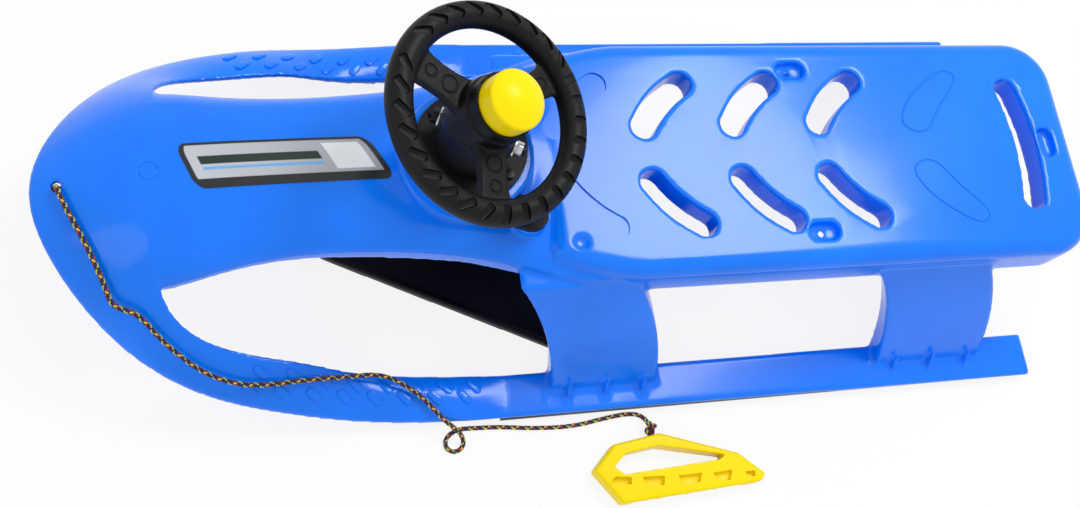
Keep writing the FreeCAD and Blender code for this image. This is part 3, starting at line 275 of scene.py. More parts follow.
def label_print(tree):
    """A printed label without words: dark frame, silver field, plain stripes and a blank pale panel."""
    place = tree.node("TexCoord", output=2)
    along = tree.node("SeparateXYZ", None, {"Vector": place}, output=0)
    across = tree.node("SeparateXYZ", None, {"Vector": place}, output=1)
    brushed_place = tree.node("Mapping", None, {"Vector": place, "Scale": (3.0, 60.0, 1.0)})
    brushed = tree.node("TexNoise", None, {"Vector": brushed_place, "Scale": 4.0, "Detail": 3.0})
    silver = finish().silver

    def band(value, low, high, soft=0.004):
        return value.step(low - soft, low + soft) * (1 - value.step(high - soft, high + soft))

    field = band(along, 0.03, 0.965) * band(across, 0.2, 0.93, 0.012)
    panel = band(along, 0.735, 0.93) * band(across, 0.27, 0.86, 0.012)
    stripes = band(along, 0.08, 0.69)
    paint = (along * 0.55 + brushed * 0.35).mix(silver, [channel * 0.45 for channel in silver])
    paint = (stripes * band(across, 0.5, 0.68, 0.012)).mix(paint, (0.012, 0.03, 0.02))
    paint = (stripes * band(across, 0.38, 0.44, 0.012)).mix(paint, (0.16, 0.42, 0.8))
    paint = panel.mix(paint, (0.82, 0.83, 0.84))
    paint = field.mix(finish().black, paint)
    return tree.node("BsdfPrincipled", None, {
        "Base Color": paint,
        "Metallic": field * (1 - panel) * 0.35,
        "Roughness": 0.28 + brushed * 0.12,
        "Coat Weight": 0.3,
        "Coat Roughness": 0.1,
    })


FINISHES = {}


def finish_of(slot):
    """The material of a slot, made once."""
    if slot not in FINISHES:
        colours = finish()
        makers = {
            "blue_plastic": lambda: plastic(slot, colours.blue, 0.17, 0.2, 1400.0, 0.00001, 0.08, 1.33),
            "black_plastic": lambda: plastic(slot, colours.black, 0.45, 0.0, 1800.0, 0.00004, 0.3, 1.3),
            "yellow_plastic": lambda: plastic(slot, colours.yellow, 0.28, 0.05, 1500.0, 0.00001, 0.03, 1.2),
            "white_plastic": lambda: plastic(slot, colours.white, 0.4, 0.0, 1500.0, 0.00003),
            "horn_rubber": lambda: plastic(slot, colours.rubber, 0.7, 0.0, 1200.0, 0.0001, 0.3),
            "dark_steel": lambda: metal(slot, colours.steel, 0.38, 420.0),
            "zinc_steel": lambda: metal(slot, colours.zinc, 0.22, 900.0),
            "rope_braid": lambda: material(slot, rope_yarn),
            "label_print": lambda: material(slot, label_print),
        }
        FINISHES[slot] = makers[slot]()
    return FINISHES[slot]


# Modelling helpers

MERGE_REACH = 0.01 * MM


def deselect():
    """Leave object mode with nothing selected."""
    active = bpy.context.view_layer.objects.active
    if active is not None and active.mode != "OBJECT":
        bpy.ops.object.mode_set(mode="OBJECT")
    bpy.ops.object.select_all(action="DESELECT")


def activate(piece):
    """Leave object mode with one piece selected and active."""
    deselect()
    piece.select_set(True)
    bpy.context.view_layer.objects.active = piece


def modify(piece, kind, **settings):
    """Add a modifier and apply it."""
    activate(piece)
    modifier = piece.modifiers.new(kind.lower(), kind)
    for name, value in settings.items():
        setattr(modifier, name, value)
    bpy.ops.object.modifier_apply(modifier=modifier.name)
    return piece


def edit(piece, *steps):
    """Run edit operators on the whole of a piece."""
    activate(piece)
    bpy.ops.object.mode_set(mode="EDIT")
    for step in steps:
        bpy.ops.mesh.select_all(action="SELECT")
        step()
    bpy.ops.object.mode_set(mode="OBJECT")
    return piece


def merge():
    """An edit step that merges doubles."""
    bpy.ops.mesh.remove_doubles(threshold=MERGE_REACH)


def outwards():
    """An edit step that turns all faces outwards."""
    bpy.ops.mesh.normals_make_consistent(inside=False)


def named(name):
    """The primitive just added, under its name."""
    piece = bpy.context.object
    piece.name = name
    piece.data.name = name
    return piece


def settle(piece, place=None):
    """Put a piece's place into its mesh."""
    activate(piece)
    bpy.ops.object.transform_apply(location=True, rotation=True, scale=True)
    if place is not None:
        piece.data.transform(place)
    return piece


def join(pieces, name):
    """Join pieces into the first one."""
    activate(pieces[0])
    for piece in pieces:
        piece.select_set(True)
    bpy.ops.object.join()
    return named(name)


def carve(piece, tool, operation="DIFFERENCE"):
    """Cut a piece by a tool, or add the tool to it, and delete the tool."""
    modify(piece, "BOOLEAN", object=tool, operation=operation, solver="MANIFOLD")
    bpy.data.objects.remove(tool)
    return piece


def smooth_shade(piece, degrees):
    """Smooth shading with sharp edges above an angle."""
    activate(piece)
    bpy.ops.object.shade_smooth_by_angle(angle=math.radians(degrees))
    return piece


def copy_of(node, name):
    """A merged copy of a solid's mesh."""
    piece = bpy.data.objects.new(name, frame["nodes"][node].data.copy())
    bpy.context.scene.collection.objects.link(piece)
    piece.data.materials.clear()
    activate(piece)
    bpy.ops.mesh.customdata_custom_splitnormals_clear()
    return edit(piece, merge)


def spun(name, profile, steps=96):
    """A solid of revolution about Z, from radius and height points in metres."""
    mesh = bpy.data.meshes.new(name)
    points = [(radius, 0, height) for radius, height in profile]
    mesh.from_pydata(points, [(index, index + 1) for index in range(len(points) - 1)], [])
    piece = bpy.data.objects.new(name, mesh)
    bpy.context.scene.collection.objects.link(piece)

    def spin():
        bpy.ops.mesh.spin(steps=steps, angle=FULL_TURN, center=(0, 0, 0), axis=(0, 0, 1))

    return edit(piece, spin, merge, outwards)


def thin(piece, most):
    """Bring a piece down to a number of triangles."""
    triangles = sum(len(face.vertices) - 2 for face in piece.data.polygons)
    if triangles > most:
        modify(piece, "DECIMATE", ratio=most / triangles)
    return piece


def moulded(piece, voxel, rounds):
    """Round all edges of a piece as a mould does."""
    modify(piece, "REMESH", mode="VOXEL", voxel_size=voxel, adaptivity=0.0, use_smooth_shade=True)
    return modify(piece, "SMOOTH", factor=0.5, iterations=rounds)


def dress(piece, slot, *nodes):
    """Give a piece its finish, its body and the solids that it stands for."""
    piece.data.materials.clear()
    piece.data.materials.append(finish_of(slot))
    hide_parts(*nodes)
    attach(piece, BODY_OF[nodes[0]])
    return piece


def surface_of(piece):
    """A finder of the top of a piece at a place in plan: the point and its normal."""
    graph = bpy.context.evaluated_depsgraph_get()
    tree = BVHTree.FromObject(piece, graph)

    def find(x, y, above=1.0):
        point, normal, face, distance = tree.ray_cast(Vector((x, y, above)), Vector((0, 0, -1)))
        if point is None:
            raise RuntimeError(f"nothing under {x:.3f}, {y:.3f}")
        return point, normal

    return find


# Tow rope

# The rope's route: up through the nose hole, down the bow, over the near runner's edge,
# one small loop on the floor, then along the runner to the handle.
ROPE_ROUTE = [
    (-477, 0, 129), (-477, 0, 150), (-470, -20, 150), (-458, -45, 148.5), (-448, -68, 142.5),
    (-441, -87, 132.5), (-436, -103, 123), (-416, -109, 122.5), (-397, -131, 101), (-366, -154, 78),
    (-336, -164, 68.5), (-310, -165, 65), (-283, -162, 61), (-243, -159, 49), (-204, -156, 39),
    (-172, -178, 32.5), (-154, -199, 26), (-145, -206, 20), (-138, -210, 13.5), (-132, -216, 7.5),
    (-131, -224, 3.2), (-139, -230, 3), (-148, -226, 3), (-149, -218, 3), (-143, -211, 3),
    (-133, -207.5, 3), (-119, -208, 3), (-93, -209, 3), (-60, -213.5, 3), (-20, -215, 3),
    (14, -209.5, 3), (36, -207.2, 3), (49, -209, 3.4), (56, -216, 5), (57.5, -225, 8),
]
SPLINE_STEPS = 26
TUBE_STEPS = 2
STRANDS_EACH_WAY = 4
STRAND_SIDES = 6
CORE_SIDES = 8
STRAND_WIDTH_SHARE = 0.40
STRAND_THICKNESS_SHARE = 0.22
STRAND_MIDDLE_SHARE = 0.64
WEAVE_SHARE = 0.12
# Points of a knot's closed route, its depth, and the span that its formula reaches.
KNOT_POINTS = 18
KNOT_DEPTH = 1.5
KNOT_SPAN = 3
KNOT_TURNS = (("stopper_knot", Matrix.Rotation(0.6, 3, "X")),
              ("handle_knot", Matrix.Rotation(1.1, 3, "Y") @ Matrix.Rotation(0.5, 3, "X")))


def spline_mesh(route, closed=False, thickness=0.0):
    """The mesh of a smooth spline along a route in metres, a round tube where it has a thickness."""
    curve = bpy.data.curves.new("route", "CURVE")
    curve.dimensions = "3D"
    curve.resolution_u = SPLINE_STEPS
    curve.bevel_depth = thickness / 2
    curve.bevel_resolution = TUBE_STEPS
    spline = curve.splines.new("NURBS")
    spline.points.add(len(route) - 1)
    for point, place in zip(spline.points, route):
        point.co = (*place, 1.0)
    spline.order_u = 3
    spline.use_cyclic_u = closed
    spline.use_endpoint_u = not closed
    holder = bpy.data.objects.new("route", curve)
    mesh = bpy.data.meshes.new_from_object(holder)
    bpy.data.objects.remove(holder)
    bpy.data.curves.remove(curve)
    return mesh


def spline_points(route, closed=False):
    """Points read from a smooth spline along a route in metres."""
    mesh = spline_mesh(route, closed)
    points = [vertex.co.copy() for vertex in mesh.vertices]
    bpy.data.meshes.remove(mesh)
    return points


def travelling_frames(points, closed):
    """Length so far and two cross directions at each point, turned as little as possible."""
    count = len(points)
    rows = []
    side = None
    travelled = 0.0
    for index, point in enumerate(points):
        before = points[(index - 1) % count] if closed else points[max(index - 1, 0)]
        after = points[(index + 1) % count] if closed else points[min(index + 1, count - 1)]
        along = (after - before).normalized()
        if side is None:
            side = along.orthogonal().normalized()
        else:
            side = (side - along * side.dot(along)).normalized()
            travelled += (point - points[index - 1]).length
        rows.append((travelled, side, along.cross(side)))
    return rows


def braided_rope(name, points, closed=False):
    """A round braid of strands over a core, following points."""
    radius = forms().rope_diameter / 2
    rows = travelling_frames(points, closed)
    yarns = [finish().navy, finish().straw, finish().navy, finish().red,
             finish().navy, finish().navy, finish().straw, finish().navy]
    rate = FULL_TURN / forms().braid_pitch
    vertices, faces, colours, strand_uv = [], [], [], []

    def tube(ring, sides, colour):
        start = len(vertices)
        for index, point in enumerate(points):
            for corner in range(sides):
                vertices.append(ring(index, point, FULL_TURN * corner / sides))
                colours.append((*colour, 1.0))
                strand_uv.append((rows[index][0] / radius / 2, corner / sides))
        last = len(points) if closed else len(points) - 1
        for index in range(last):
            near = start + index * sides
            far = start + (index + 1) % len(points) * sides
            for corner in range(sides):
                after = (corner + 1) % sides
                faces.append((near + corner, near + after, far + after, far + corner))
        if not closed:
            faces.append(tuple(range(start + sides - 1, start - 1, -1)))
            faces.append(tuple(range(start + last * sides, start + last * sides + sides)))

    def core_ring(index, point, turn):
        travelled, side, other = rows[index]
        reach = radius * (STRAND_MIDDLE_SHARE - WEAVE_SHARE / 2)
        return point + (side * math.cos(turn) + other * math.sin(turn)) * reach

    tube(core_ring, CORE_SIDES, finish().navy)
    for strand, colour in enumerate(yarns):
        way = 1 if strand < STRANDS_EACH_WAY else -1
        offset = FULL_TURN * (strand % STRANDS_EACH_WAY) / STRANDS_EACH_WAY
        if way < 0:
            offset += FULL_TURN / STRANDS_EACH_WAY / 2

        def strand_ring(index, point, turn):
            travelled, side, other = rows[index]
            wound = rate * travelled
            angle = way * wound + offset
            weave = way * math.sin(STRANDS_EACH_WAY * wound) * WEAVE_SHARE
            out = side * math.cos(angle) + other * math.sin(angle)
            around = other * math.cos(angle) - side * math.sin(angle)
            reach = radius * (STRAND_MIDDLE_SHARE + weave + STRAND_THICKNESS_SHARE * math.cos(turn))
            return point + out * reach + around * (radius * STRAND_WIDTH_SHARE * math.sin(turn))

        tube(strand_ring, STRAND_SIDES, colour)
    mesh = bpy.data.meshes.new(name)
    mesh.from_pydata(vertices, [], faces)
    yarn = mesh.attributes.new("yarn", "FLOAT_COLOR", "POINT")
    for index, colour in enumerate(colours):
        yarn.data[index].color = colour
    layer = mesh.uv_layers.new(name="strand")
    for loop in mesh.loops:
        layer.data[loop.index].uv = strand_uv[loop.vertex_index]
    piece = bpy.data.objects.new(name, mesh)
    bpy.context.scene.collection.objects.link(piece)
    edit(piece, outwards)
    return smooth_shade(piece, 60)


def knot_route(centre, reach, turn):
    """A closed overhand knot drawn up tight about a centre."""
    route = []
    for index in range(KNOT_POINTS):
        t = FULL_TURN * index / KNOT_POINTS
        local = Vector((math.sin(t) + 2 * math.sin(2 * t), math.cos(t) - 2 * math.cos(2 * t),
                        -KNOT_DEPTH * math.sin(3 * t)))
        route.append(centre + turn @ (local * reach / KNOT_SPAN))
    return route


def middle_of(node):
    """The middle of a solid's box."""
    low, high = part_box(node)
    return (Vector(low) + Vector(high)) / 2


class SLED_OT_tow_rope(bpy.types.Operator):
    """Braid the tow rope along its route, with its two knots"""

    bl_idname = "sled.tow_rope"
    bl_label = "Tow rope"

    def execute(self, context):
        points = spline_points([Vector(place) * MM for place in ROPE_ROUTE])
        rope = dress(braided_rope("tow_rope_braid", points), "rope_braid", "tow_rope")
        for node, turn in KNOT_TURNS:
            low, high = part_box(node)
            reach = (high[0] - low[0] - forms().rope_diameter) / 2
            route = knot_route(middle_of(node), reach, turn)
            knot = braided_rope(node + "_braid", spline_points(route, True), True)
            dress(knot, "rope_braid", node)
        length = sum((b - a).length for a, b in zip(points, points[1:]))
        return {"FINISHED"}


# Body moulding

# Each row of foot nubs passes through three places in plan, on the near side, in millimetres.
NUB_ROWS = (((-317, -153), (-218, -165), (-118, -171)), ((-328, -166), (-229, -175.5), (-129, -180)))
NUBS_TO_A_ROW = 8
NUB_TURN = math.radians(-48)
SLOT_INNER = (-47.5, -28)
SLOT_OUTER = (-4.5, -71)
SLOT_HALF_WIDTH = 12.5
SLOT_BOW = 4.0
SLOT_DEPTH = 1.8
SLOT_STEPS = 16
SEAT_TOP = 174.5
BODY_TRIANGLES = 165000
BODY_ROUNDS = 9
NUB_CORNERS = 24
NUB_EDGE_SHARE = 0.6
# Plan outline of the leaf line at the rear of the seat, on the far side.
LEAF = ((309, 23), (312, 36), (324, 53), (342, 68), (361, 80), (374, 83), (383, 75), (375, 62), (361, 48),
        (348, 32), (337, 17), (323, 14))
LEAF_LINE = 2.0
GATE_X = -402
GATE_RADIUS = 8.0
GATE_GROOVE = 0.8


class SLED_OT_moulding(bpy.types.Operator):
    """Finish the blue body: rounded edges, foot nubs, seat outlines and gate ring"""

    bl_idname = "sled.moulding"
    bl_label = "Body moulding"

    def execute(self, context):
        body = moulded(copy_of("sled_body", "sled_moulding"), forms().body_voxel, BODY_ROUNDS)
        thin(body, BODY_TRIANGLES)
        surface = surface_of(body)
        carve(body, foot_nubs(surface), "UNION")
        carve(body, seat_leaves(), "UNION")
        carve(body, blind_slots())
        carve(body, gate_ring(surface))
        smooth_shade(body, 42)
        dress(body, "blue_plastic", "sled_body")
        return {"FINISHED"}


def foot_nubs(surface):
    """Raised ovals on both foot rests, in two staggered rows to a side."""
    form = forms()
    nubs = []
    for first, middle, last in NUB_ROWS:
        for side in (-1, 1):
            for index in range(NUBS_TO_A_ROW):
                share = index / (NUBS_TO_A_ROW - 1)
                weights = ((1 - share) * (1 - 2 * share), 4 * share * (1 - share), share * (2 * share - 1))
                x, y = (sum(weight * place[axis] for weight, place in zip(weights, (first, middle, last)))
                        for axis in (0, 1))
                point, normal = surface(x * MM, -side * y * MM)
                place = (Matrix.Translation(point) @ upright(normal)
                         @ Matrix.Rotation(-side * NUB_TURN, 4, "Z"))
                nubs.append(oval_pad("foot_nub", form.nub_length, form.nub_width, form.nub_height, place))
    return join(nubs, "foot_nubs")


def upright(normal):
    """A turn whose Z follows a normal and whose X stays in the sled's length."""
    across = normal.cross(Vector((1, 0, 0))).normalized()
    return Matrix((across.cross(normal), across, normal)).transposed().to_4x4()


def oval_pad(name, length, width, height, place):
    """A pad with round ends and a soft top edge, standing half in its surface."""
    deselect()
    bpy.ops.mesh.primitive_cylinder_add(vertices=NUB_CORNERS, radius=width / 2, depth=2 * height)
    pad = named(name)
    for vertex in pad.data.vertices:
        vertex.co.x += math.copysign((length - width) / 2, vertex.co.x)
    modify(pad, "BEVEL", width=height * NUB_EDGE_SHARE, segments=2, limit_method="ANGLE",
           angle_limit=math.radians(40))
    pad.data.transform(place)
    return pad


def blind_slots():
    """Cutters for the two shallow blind slots at the front of the seat."""
    inner, outer = Vector(SLOT_INNER), Vector(SLOT_OUTER)
    along = (inner - outer).normalized()
    side = Vector((-along.y, along.x))

    def edge(share, offset):
        return outer.lerp(inner, share) + side * (4 * SLOT_BOW * share * (1 - share) + offset)

    steps = [index / SLOT_STEPS for index in range(SLOT_STEPS + 1)]
    outline = [edge(share, SLOT_HALF_WIDTH) for share in steps]
    for middle, start in ((inner, side), (outer, -side)):
        for share in steps[1:-1]:
            turn = Matrix.Rotation(-math.pi * share, 2)
            outline.append(middle + (turn @ start) * SLOT_HALF_WIDTH)
        if middle is inner:
            outline += [edge(1 - share, -SLOT_HALF_WIDTH) for share in steps]
    low, high = SEAT_TOP - SLOT_DEPTH, SEAT_TOP + 4 * SLOT_DEPTH
    cutters = [prism("blind_slot", [(x, mirror * y) for x, y in outline], low, high) for mirror in (1, -1)]
    return join(cutters, "blind_slots")


def prism(name, outline, low, high):
    """An upright prism on a plan outline, in millimetres."""
    mesh = bpy.data.meshes.new(name)
    mesh.from_pydata([(x * MM, y * MM, low * MM) for x, y in outline], [], [list(range(len(outline)))])
    piece = bpy.data.objects.new(name, mesh)
    bpy.context.scene.collection.objects.link(piece)
    return edit(piece, lambda: bpy.ops.mesh.extrude_region_move(
        TRANSFORM_OT_translate={"value": (0, 0, (high - low) * MM)}), outwards)


def seat_leaves():
    """Thin ridges round a leaf at the rear of the seat, half sunk, one to a side."""
    ridges = []
    for mirror in (1, -1):
        route = [Vector((x, mirror * y, SEAT_TOP)) * MM for x, y in LEAF]
        ridge = bpy.data.objects.new("seat_leaf", spline_mesh(route, True, LEAF_LINE * MM))
        bpy.context.scene.collection.objects.link(ridge)
        ridges.append(edit(ridge, merge, outwards))
    return join(ridges, "seat_leaves")


def gate_ring(surface):
    """Cutter for the ring left by the mould's gate on the nose."""
    point, normal = surface(GATE_X * MM, 0)
    deselect()
    bpy.ops.mesh.primitive_torus_add(major_radius=GATE_RADIUS * MM, minor_radius=GATE_GROOVE * MM,
                                     major_segments=48, minor_segments=10)
    return settle(named("gate_ring"), Matrix.Translation(point) @ upright(normal))


# Label

LABEL_CORNERS = ((-381, 23), (-220, 22), (-197, -19), (-364, -20))
LABEL_COLUMNS = 96
LABEL_ROWS = 32
LABEL_ROUND_SHARE = 0.3
LABEL_ROUND_LENGTH = 0.05
LABEL_ROUNDS = 4
LABEL_LIFT = 0.2 * MM
LABEL_THICKNESS = 0.4 * MM


class SLED_OT_label(bpy.types.Operator):
    """Lay the printed label on the bonnet"""

    bl_idname = "sled.label"
    bl_label = "Bonnet label"

    def execute(self, context):
        surface = surface_of(bpy.data.objects["sled_moulding"])
        far_left, far_right, near_right, near_left = (Vector(corner) * MM for corner in LABEL_CORNERS)
        deselect()
        bpy.ops.mesh.primitive_grid_add(x_subdivisions=LABEL_COLUMNS, y_subdivisions=LABEL_ROWS, size=1)
        label = named("bonnet_label")
        for vertex in label.data.vertices:
            along, across = vertex.co.x + 0.5, vertex.co.y + 0.5
            inset = max(0.0, 1 - min(across, 1 - across) / LABEL_ROUND_SHARE)
            inset = LABEL_ROUND_LENGTH * (1 - math.sqrt(1 - inset * inset))
            along = inset + along * (1 - 2 * inset)
            near = near_left.lerp(near_right, along)
            far = far_left.lerp(far_right, along)
            place = near.lerp(far, across)
            point, normal = surface(place.x, place.y)
            vertex.co = point + normal * (LABEL_LIFT + LABEL_THICKNESS)
        modify(label, "SMOOTH", factor=0.5, iterations=LABEL_ROUNDS)
        modify(label, "SOLIDIFY", thickness=LABEL_THICKNESS, offset=-1)
        smooth_shade(label, 40)
        label.data.materials.append(finish_of("label_print"))
        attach(label, "sled")
        return {"FINISHED"}


# Steering wheel

SPOKE_TURN = math.radians(57)
SPOKE_COUNT = 3
PATTERN_TURN = math.radians(175)
PATTERN_GAP = math.radians(22.5)
POCKET_LEAN = math.radians(48)
POCKET_SEAT = math.radians(76)
POCKET_EDGE_SHARE = 0.45
# Pockets lean fully up to 105 degrees from the pattern's start, and stand straight from 125 degrees on.
LEAN_END = 125
LEAN_FADE = 20
RING_PLACES = ((61, 5.0), (42, 7.0))
RING_GROOVE = 1.1
WHEEL_ROUNDS = 3


class SLED_OT_wheel(bpy.types.Operator):
    """Model the steering wheel: rim with grip pockets, waisted spokes, hub and cup"""

    bl_idname = "sled.wheel"
    bl_label = "Steering wheel"

    def execute(self, context):
        form = forms()
        deselect()
        bpy.ops.mesh.primitive_torus_add(major_radius=form.rim_radius, minor_radius=form.rim_section,
                                         major_segments=144, minor_segments=40,
                                         location=(0, 0, form.rim_station))
        stock = [settle(named("rim"))]
        stock += [spoke(SPOKE_TURN + index * FULL_TURN / SPOKE_COUNT) for index in range(SPOKE_COUNT)]
        stock.append(spun("neck", NECK_PROFILE))
        for piece in stock:
            piece.data.transform(LEAN_FRAME)
        stock += [spun("hub", HUB_PROFILE), bolt_boss()]
        wheel = moulded(join(stock, "wheel_moulding"), form.wheel_voxel, WHEEL_ROUNDS)
        for cutter in (grip_pockets(), ring_grooves()):
            cutter.data.transform(LEAN_FRAME)
            carve(wheel, cutter)
        wheel.data.transform(COLUMN_FRAME)
        smooth_shade(wheel, 38)
        dress(wheel, "black_plastic", "steering_wheel")
        return {"FINISHED"}


NECK_PROFILE = [(radius * MM, station * MM) for radius, station in (
    (0, 24), (25.9, 24), (25.9, 35), (28.3, 35), (28.3, 22), (30, 22), (30, -13), (0, -13))]
HUB_PROFILE = [(radius * MM, station * MM) for radius, station in (
    (0, 80), (32, 80), (32, 26.4), (16.05, 26.4), (16.05, 70), (0, 70))]
BOSS_RADIUS = 11 * MM
BOSS_REACH = 33 * MM
BOSS_STATION = 50 * MM


def bolt_boss():
    """The cross boss of the hub, between the two seats of its bolt."""
    deselect()
    bpy.ops.mesh.primitive_cylinder_add(vertices=48, radius=BOSS_RADIUS, depth=2 * BOSS_REACH,
                                        location=(0, 0, BOSS_STATION), rotation=(0, math.pi / 2, 0))
    return settle(named("bolt_boss"))


SPOKE_INNER = 24 * MM
SPOKE_OUTER = 79 * MM
SPOKE_LOW = 1 * MM
SPOKE_HIGH = 10 * MM


def spoke(turn):
    """One waisted spoke from the hub to the rim."""
    form = forms()
    deselect()
    bpy.ops.mesh.primitive_cube_add(size=1)
    piece = named("spoke")
    edit(piece, lambda: bpy.ops.mesh.subdivide(number_cuts=15))
    for vertex in piece.data.vertices:
        share = vertex.co.x + 0.5
        width = form.spoke_waist + (form.spoke_width - form.spoke_waist) * (2 * share - 1) ** 2
        vertex.co = (SPOKE_INNER + share * (SPOKE_OUTER - SPOKE_INNER), vertex.co.y * width,
                     SPOKE_LOW + (vertex.co.z + 0.5) * (SPOKE_HIGH - SPOKE_LOW))
    piece.data.transform(Matrix.Rotation(turn, 4, "Z"))
    return piece


def grip_pockets():
    """Cutters for the slanted pockets round the rim's top, mirrored about one spoke."""
    form = forms()
    cutters = []
    spread = (FULL_TURN - PATTERN_GAP) / (form.pocket_count - 1)
    for index in range(form.pocket_count):
        away = PATTERN_GAP / 2 + index * spread
        angle = PATTERN_TURN - away
        side = 1 if away < math.pi else -1
        reach = math.degrees(min(away, FULL_TURN - away))
        fade = max(0.0, min(1.0, (LEAN_END - reach) / LEAN_FADE))
        lean = side * POCKET_LEAN * fade
        deselect()
        bpy.ops.mesh.primitive_cube_add(size=1)
        cutter = named("pocket")
        tall = 2 * form.pocket_depth
        settle(cutter, Matrix.Diagonal((form.pocket_length, form.pocket_width, tall, 1)))
        modify(cutter, "BEVEL", width=form.pocket_depth * POCKET_EDGE_SHARE, segments=3)
        place = (Matrix.Rotation(angle, 4, "Z") @ Matrix.Translation((form.rim_radius, 0, form.rim_station))
                 @ Matrix.Rotation(math.pi / 2 - POCKET_SEAT, 4, "Y")
                 @ Matrix.Translation((0, 0, form.rim_section)) @ Matrix.Rotation(lean, 4, "Z"))
        cutter.data.transform(place)
        cutters.append(cutter)
    return join(cutters, "grip_pockets")


def ring_grooves():
    """Cutters for the ring grooves on each spoke's face."""
    cutters = []
    for index in range(SPOKE_COUNT):
        turn = SPOKE_TURN + index * FULL_TURN / SPOKE_COUNT
        for place, radius in RING_PLACES:
            deselect()
            bpy.ops.mesh.primitive_torus_add(major_radius=radius * MM, minor_radius=RING_GROOVE * MM,
                                             major_segments=40, minor_segments=10,
                                             location=(place * MM, 0, SPOKE_HIGH))
            ring = settle(named("ring_groove"))
            ring.data.transform(Matrix.Rotation(turn, 4, "Z"))
            cutters.append(ring)
    return join(cutters, "ring_grooves")


# Horn

CAP_BOTTOM = 31.9 * MM
CAP_TOP = 60.9 * MM
CAP_DOME = 9 * MM
CAP_SHOULDER = 4.5 * MM
CAP_WALL = 2.5 * MM
ARC_STEPS = 18


def dome_profile(radius, top, dome, shoulder):
    """Points of a domed top from its middle to its side, with a rounded shoulder."""
    ball = (radius * radius + dome * dome) / (2 * dome)
    reach = math.asin((radius - shoulder) / (ball - shoulder))
    points = [(ball * math.sin(reach * i / ARC_STEPS), top - ball + ball * math.cos(reach * i / ARC_STEPS))
              for i in range(ARC_STEPS)]
    middle = (radius - shoulder, top - ball + (ball - shoulder) * math.cos(reach))
    for i in range(ARC_STEPS + 1):
        turn = reach + (math.pi / 2 - reach) * i / ARC_STEPS
        points.append((middle[0] + shoulder * math.sin(turn), middle[1] + shoulder * math.cos(turn)))
    return points


class SLED_OT_horn(bpy.types.Operator):
    """Model the domed horn cap, and dress the horn's base and bellows"""

    bl_idname = "sled.horn"
    bl_label = "Horn"

    def execute(self, context):
        radius = forms().cap_radius
        outside = dome_profile(radius, CAP_TOP, CAP_DOME, CAP_SHOULDER)
        inside = dome_profile(radius - CAP_WALL, CAP_TOP - CAP_WALL, CAP_DOME - CAP_WALL / 2,
                              CAP_SHOULDER - CAP_WALL)
        lip = [(radius, CAP_BOTTOM + CAP_WALL / 3), (radius - CAP_WALL / 3, CAP_BOTTOM),
               (radius - CAP_WALL, CAP_BOTTOM)]
        cap = spun("horn_cap_shell", outside + lip + inside[::-1], 128)
        cap.data.transform(WHEEL_FRAME)
        smooth_shade(cap, 40)
        dress(cap, "yellow_plastic", "horn_cap")
        dress(machined("horn_base", 0.4), "white_plastic", "horn_base")
        dress(bellows(), "horn_rubber", "horn_bellows")
        return {"FINISHED"}


BELLOWS_LOW = 27 * MM
BELLOWS_HEIGHT = 21 * MM
BELLOWS_RADIUS = 20 * MM
BELLOWS_FOLD = 2.2 * MM
BELLOWS_WALL = 1.6 * MM
BELLOWS_FOLDS = 5


def bellows():
    """A folded rubber sleeve between the horn's base and cap."""
    steps = BELLOWS_FOLDS * 8
    outside = []
    for index in range(steps + 1):
        wave = math.cos(FULL_TURN * BELLOWS_FOLDS * index / steps)
        outside.append((BELLOWS_RADIUS - BELLOWS_FOLD / 2 + wave * BELLOWS_FOLD / 2,
                        BELLOWS_LOW + BELLOWS_HEIGHT * index / steps))
    inside = [(radius - BELLOWS_WALL, station) for radius, station in outside]
    piece = spun("horn_bellows_folds", outside + inside[::-1] + outside[:1], 64)
    piece.data.transform(WHEEL_FRAME)
    return smooth_shade(piece, 50)


# Hardware and plain pieces


def machined(node, chamfer, name=None):
    """A copy of a solid with its flat faces joined and its edges broken."""
    piece = copy_of(node, name or node + "_finished")
    edit(piece, lambda: bpy.ops.mesh.dissolve_limited(angle_limit=math.radians(1)))
    modify(piece, "BEVEL", width=chamfer * MM, segments=2, limit_method="ANGLE", angle_limit=math.radians(35))
    return smooth_shade(piece, 32)


HARDWARE = (
    ("left_runner_strip", "dark_steel", 0.5), ("right_runner_strip", "dark_steel", 0.5),
    ("steering_column", "dark_steel", 0.4), ("retaining_collar", "dark_steel", 0.5),
    ("strip_rivets", "zinc_steel", 0.2), ("bearing_screws", "dark_steel", 0.3),
    ("bracket_screws", "zinc_steel", 0.3), ("collar_pin", "zinc_steel", 0.3),
    ("wheel_bolt", "dark_steel", 0.4), ("wheel_nut", "zinc_steel", 0.5),
    ("wheel_bolt_washers", "zinc_steel", 0.25), ("ski_bolt", "zinc_steel", 0.4),
    ("ski_nut", "zinc_steel", 0.5), ("ski_bolt_washers", "zinc_steel", 0.25),
    ("upper_bush", "white_plastic", 0.3), ("lower_bush", "white_plastic", 0.3),
)


class SLED_OT_hardware(bpy.types.Operator):
    """Break the edges of the strips, column, bushes, bolts, nuts, washers, screws and rivets"""

    bl_idname = "sled.hardware"
    bl_label = "Hardware"

    def execute(self, context):
        for node, slot, chamfer in HARDWARE:
            dress(machined(node, chamfer), slot, node)
        return {"FINISHED"}


class SLED_OT_steering_mouldings(bpy.types.Operator):
    """Finish the black ski, bearing and brackets"""

    bl_idname = "sled.steering_mouldings"
    bl_label = "Ski, bearing and brackets"

    def execute(self, context):
        form = forms()
        for node, voxel, rounds in (("steering_ski", form.ski_voxel, 4),
                                    ("column_bearing", form.small_voxel, 2),
                                    ("column_brackets", form.small_voxel, 3)):
            piece = moulded(copy_of(node, node + "_moulding"), voxel, rounds)
            dress(smooth_shade(piece, 45), "black_plastic", node)
        return {"FINISHED"}


# Pull handle

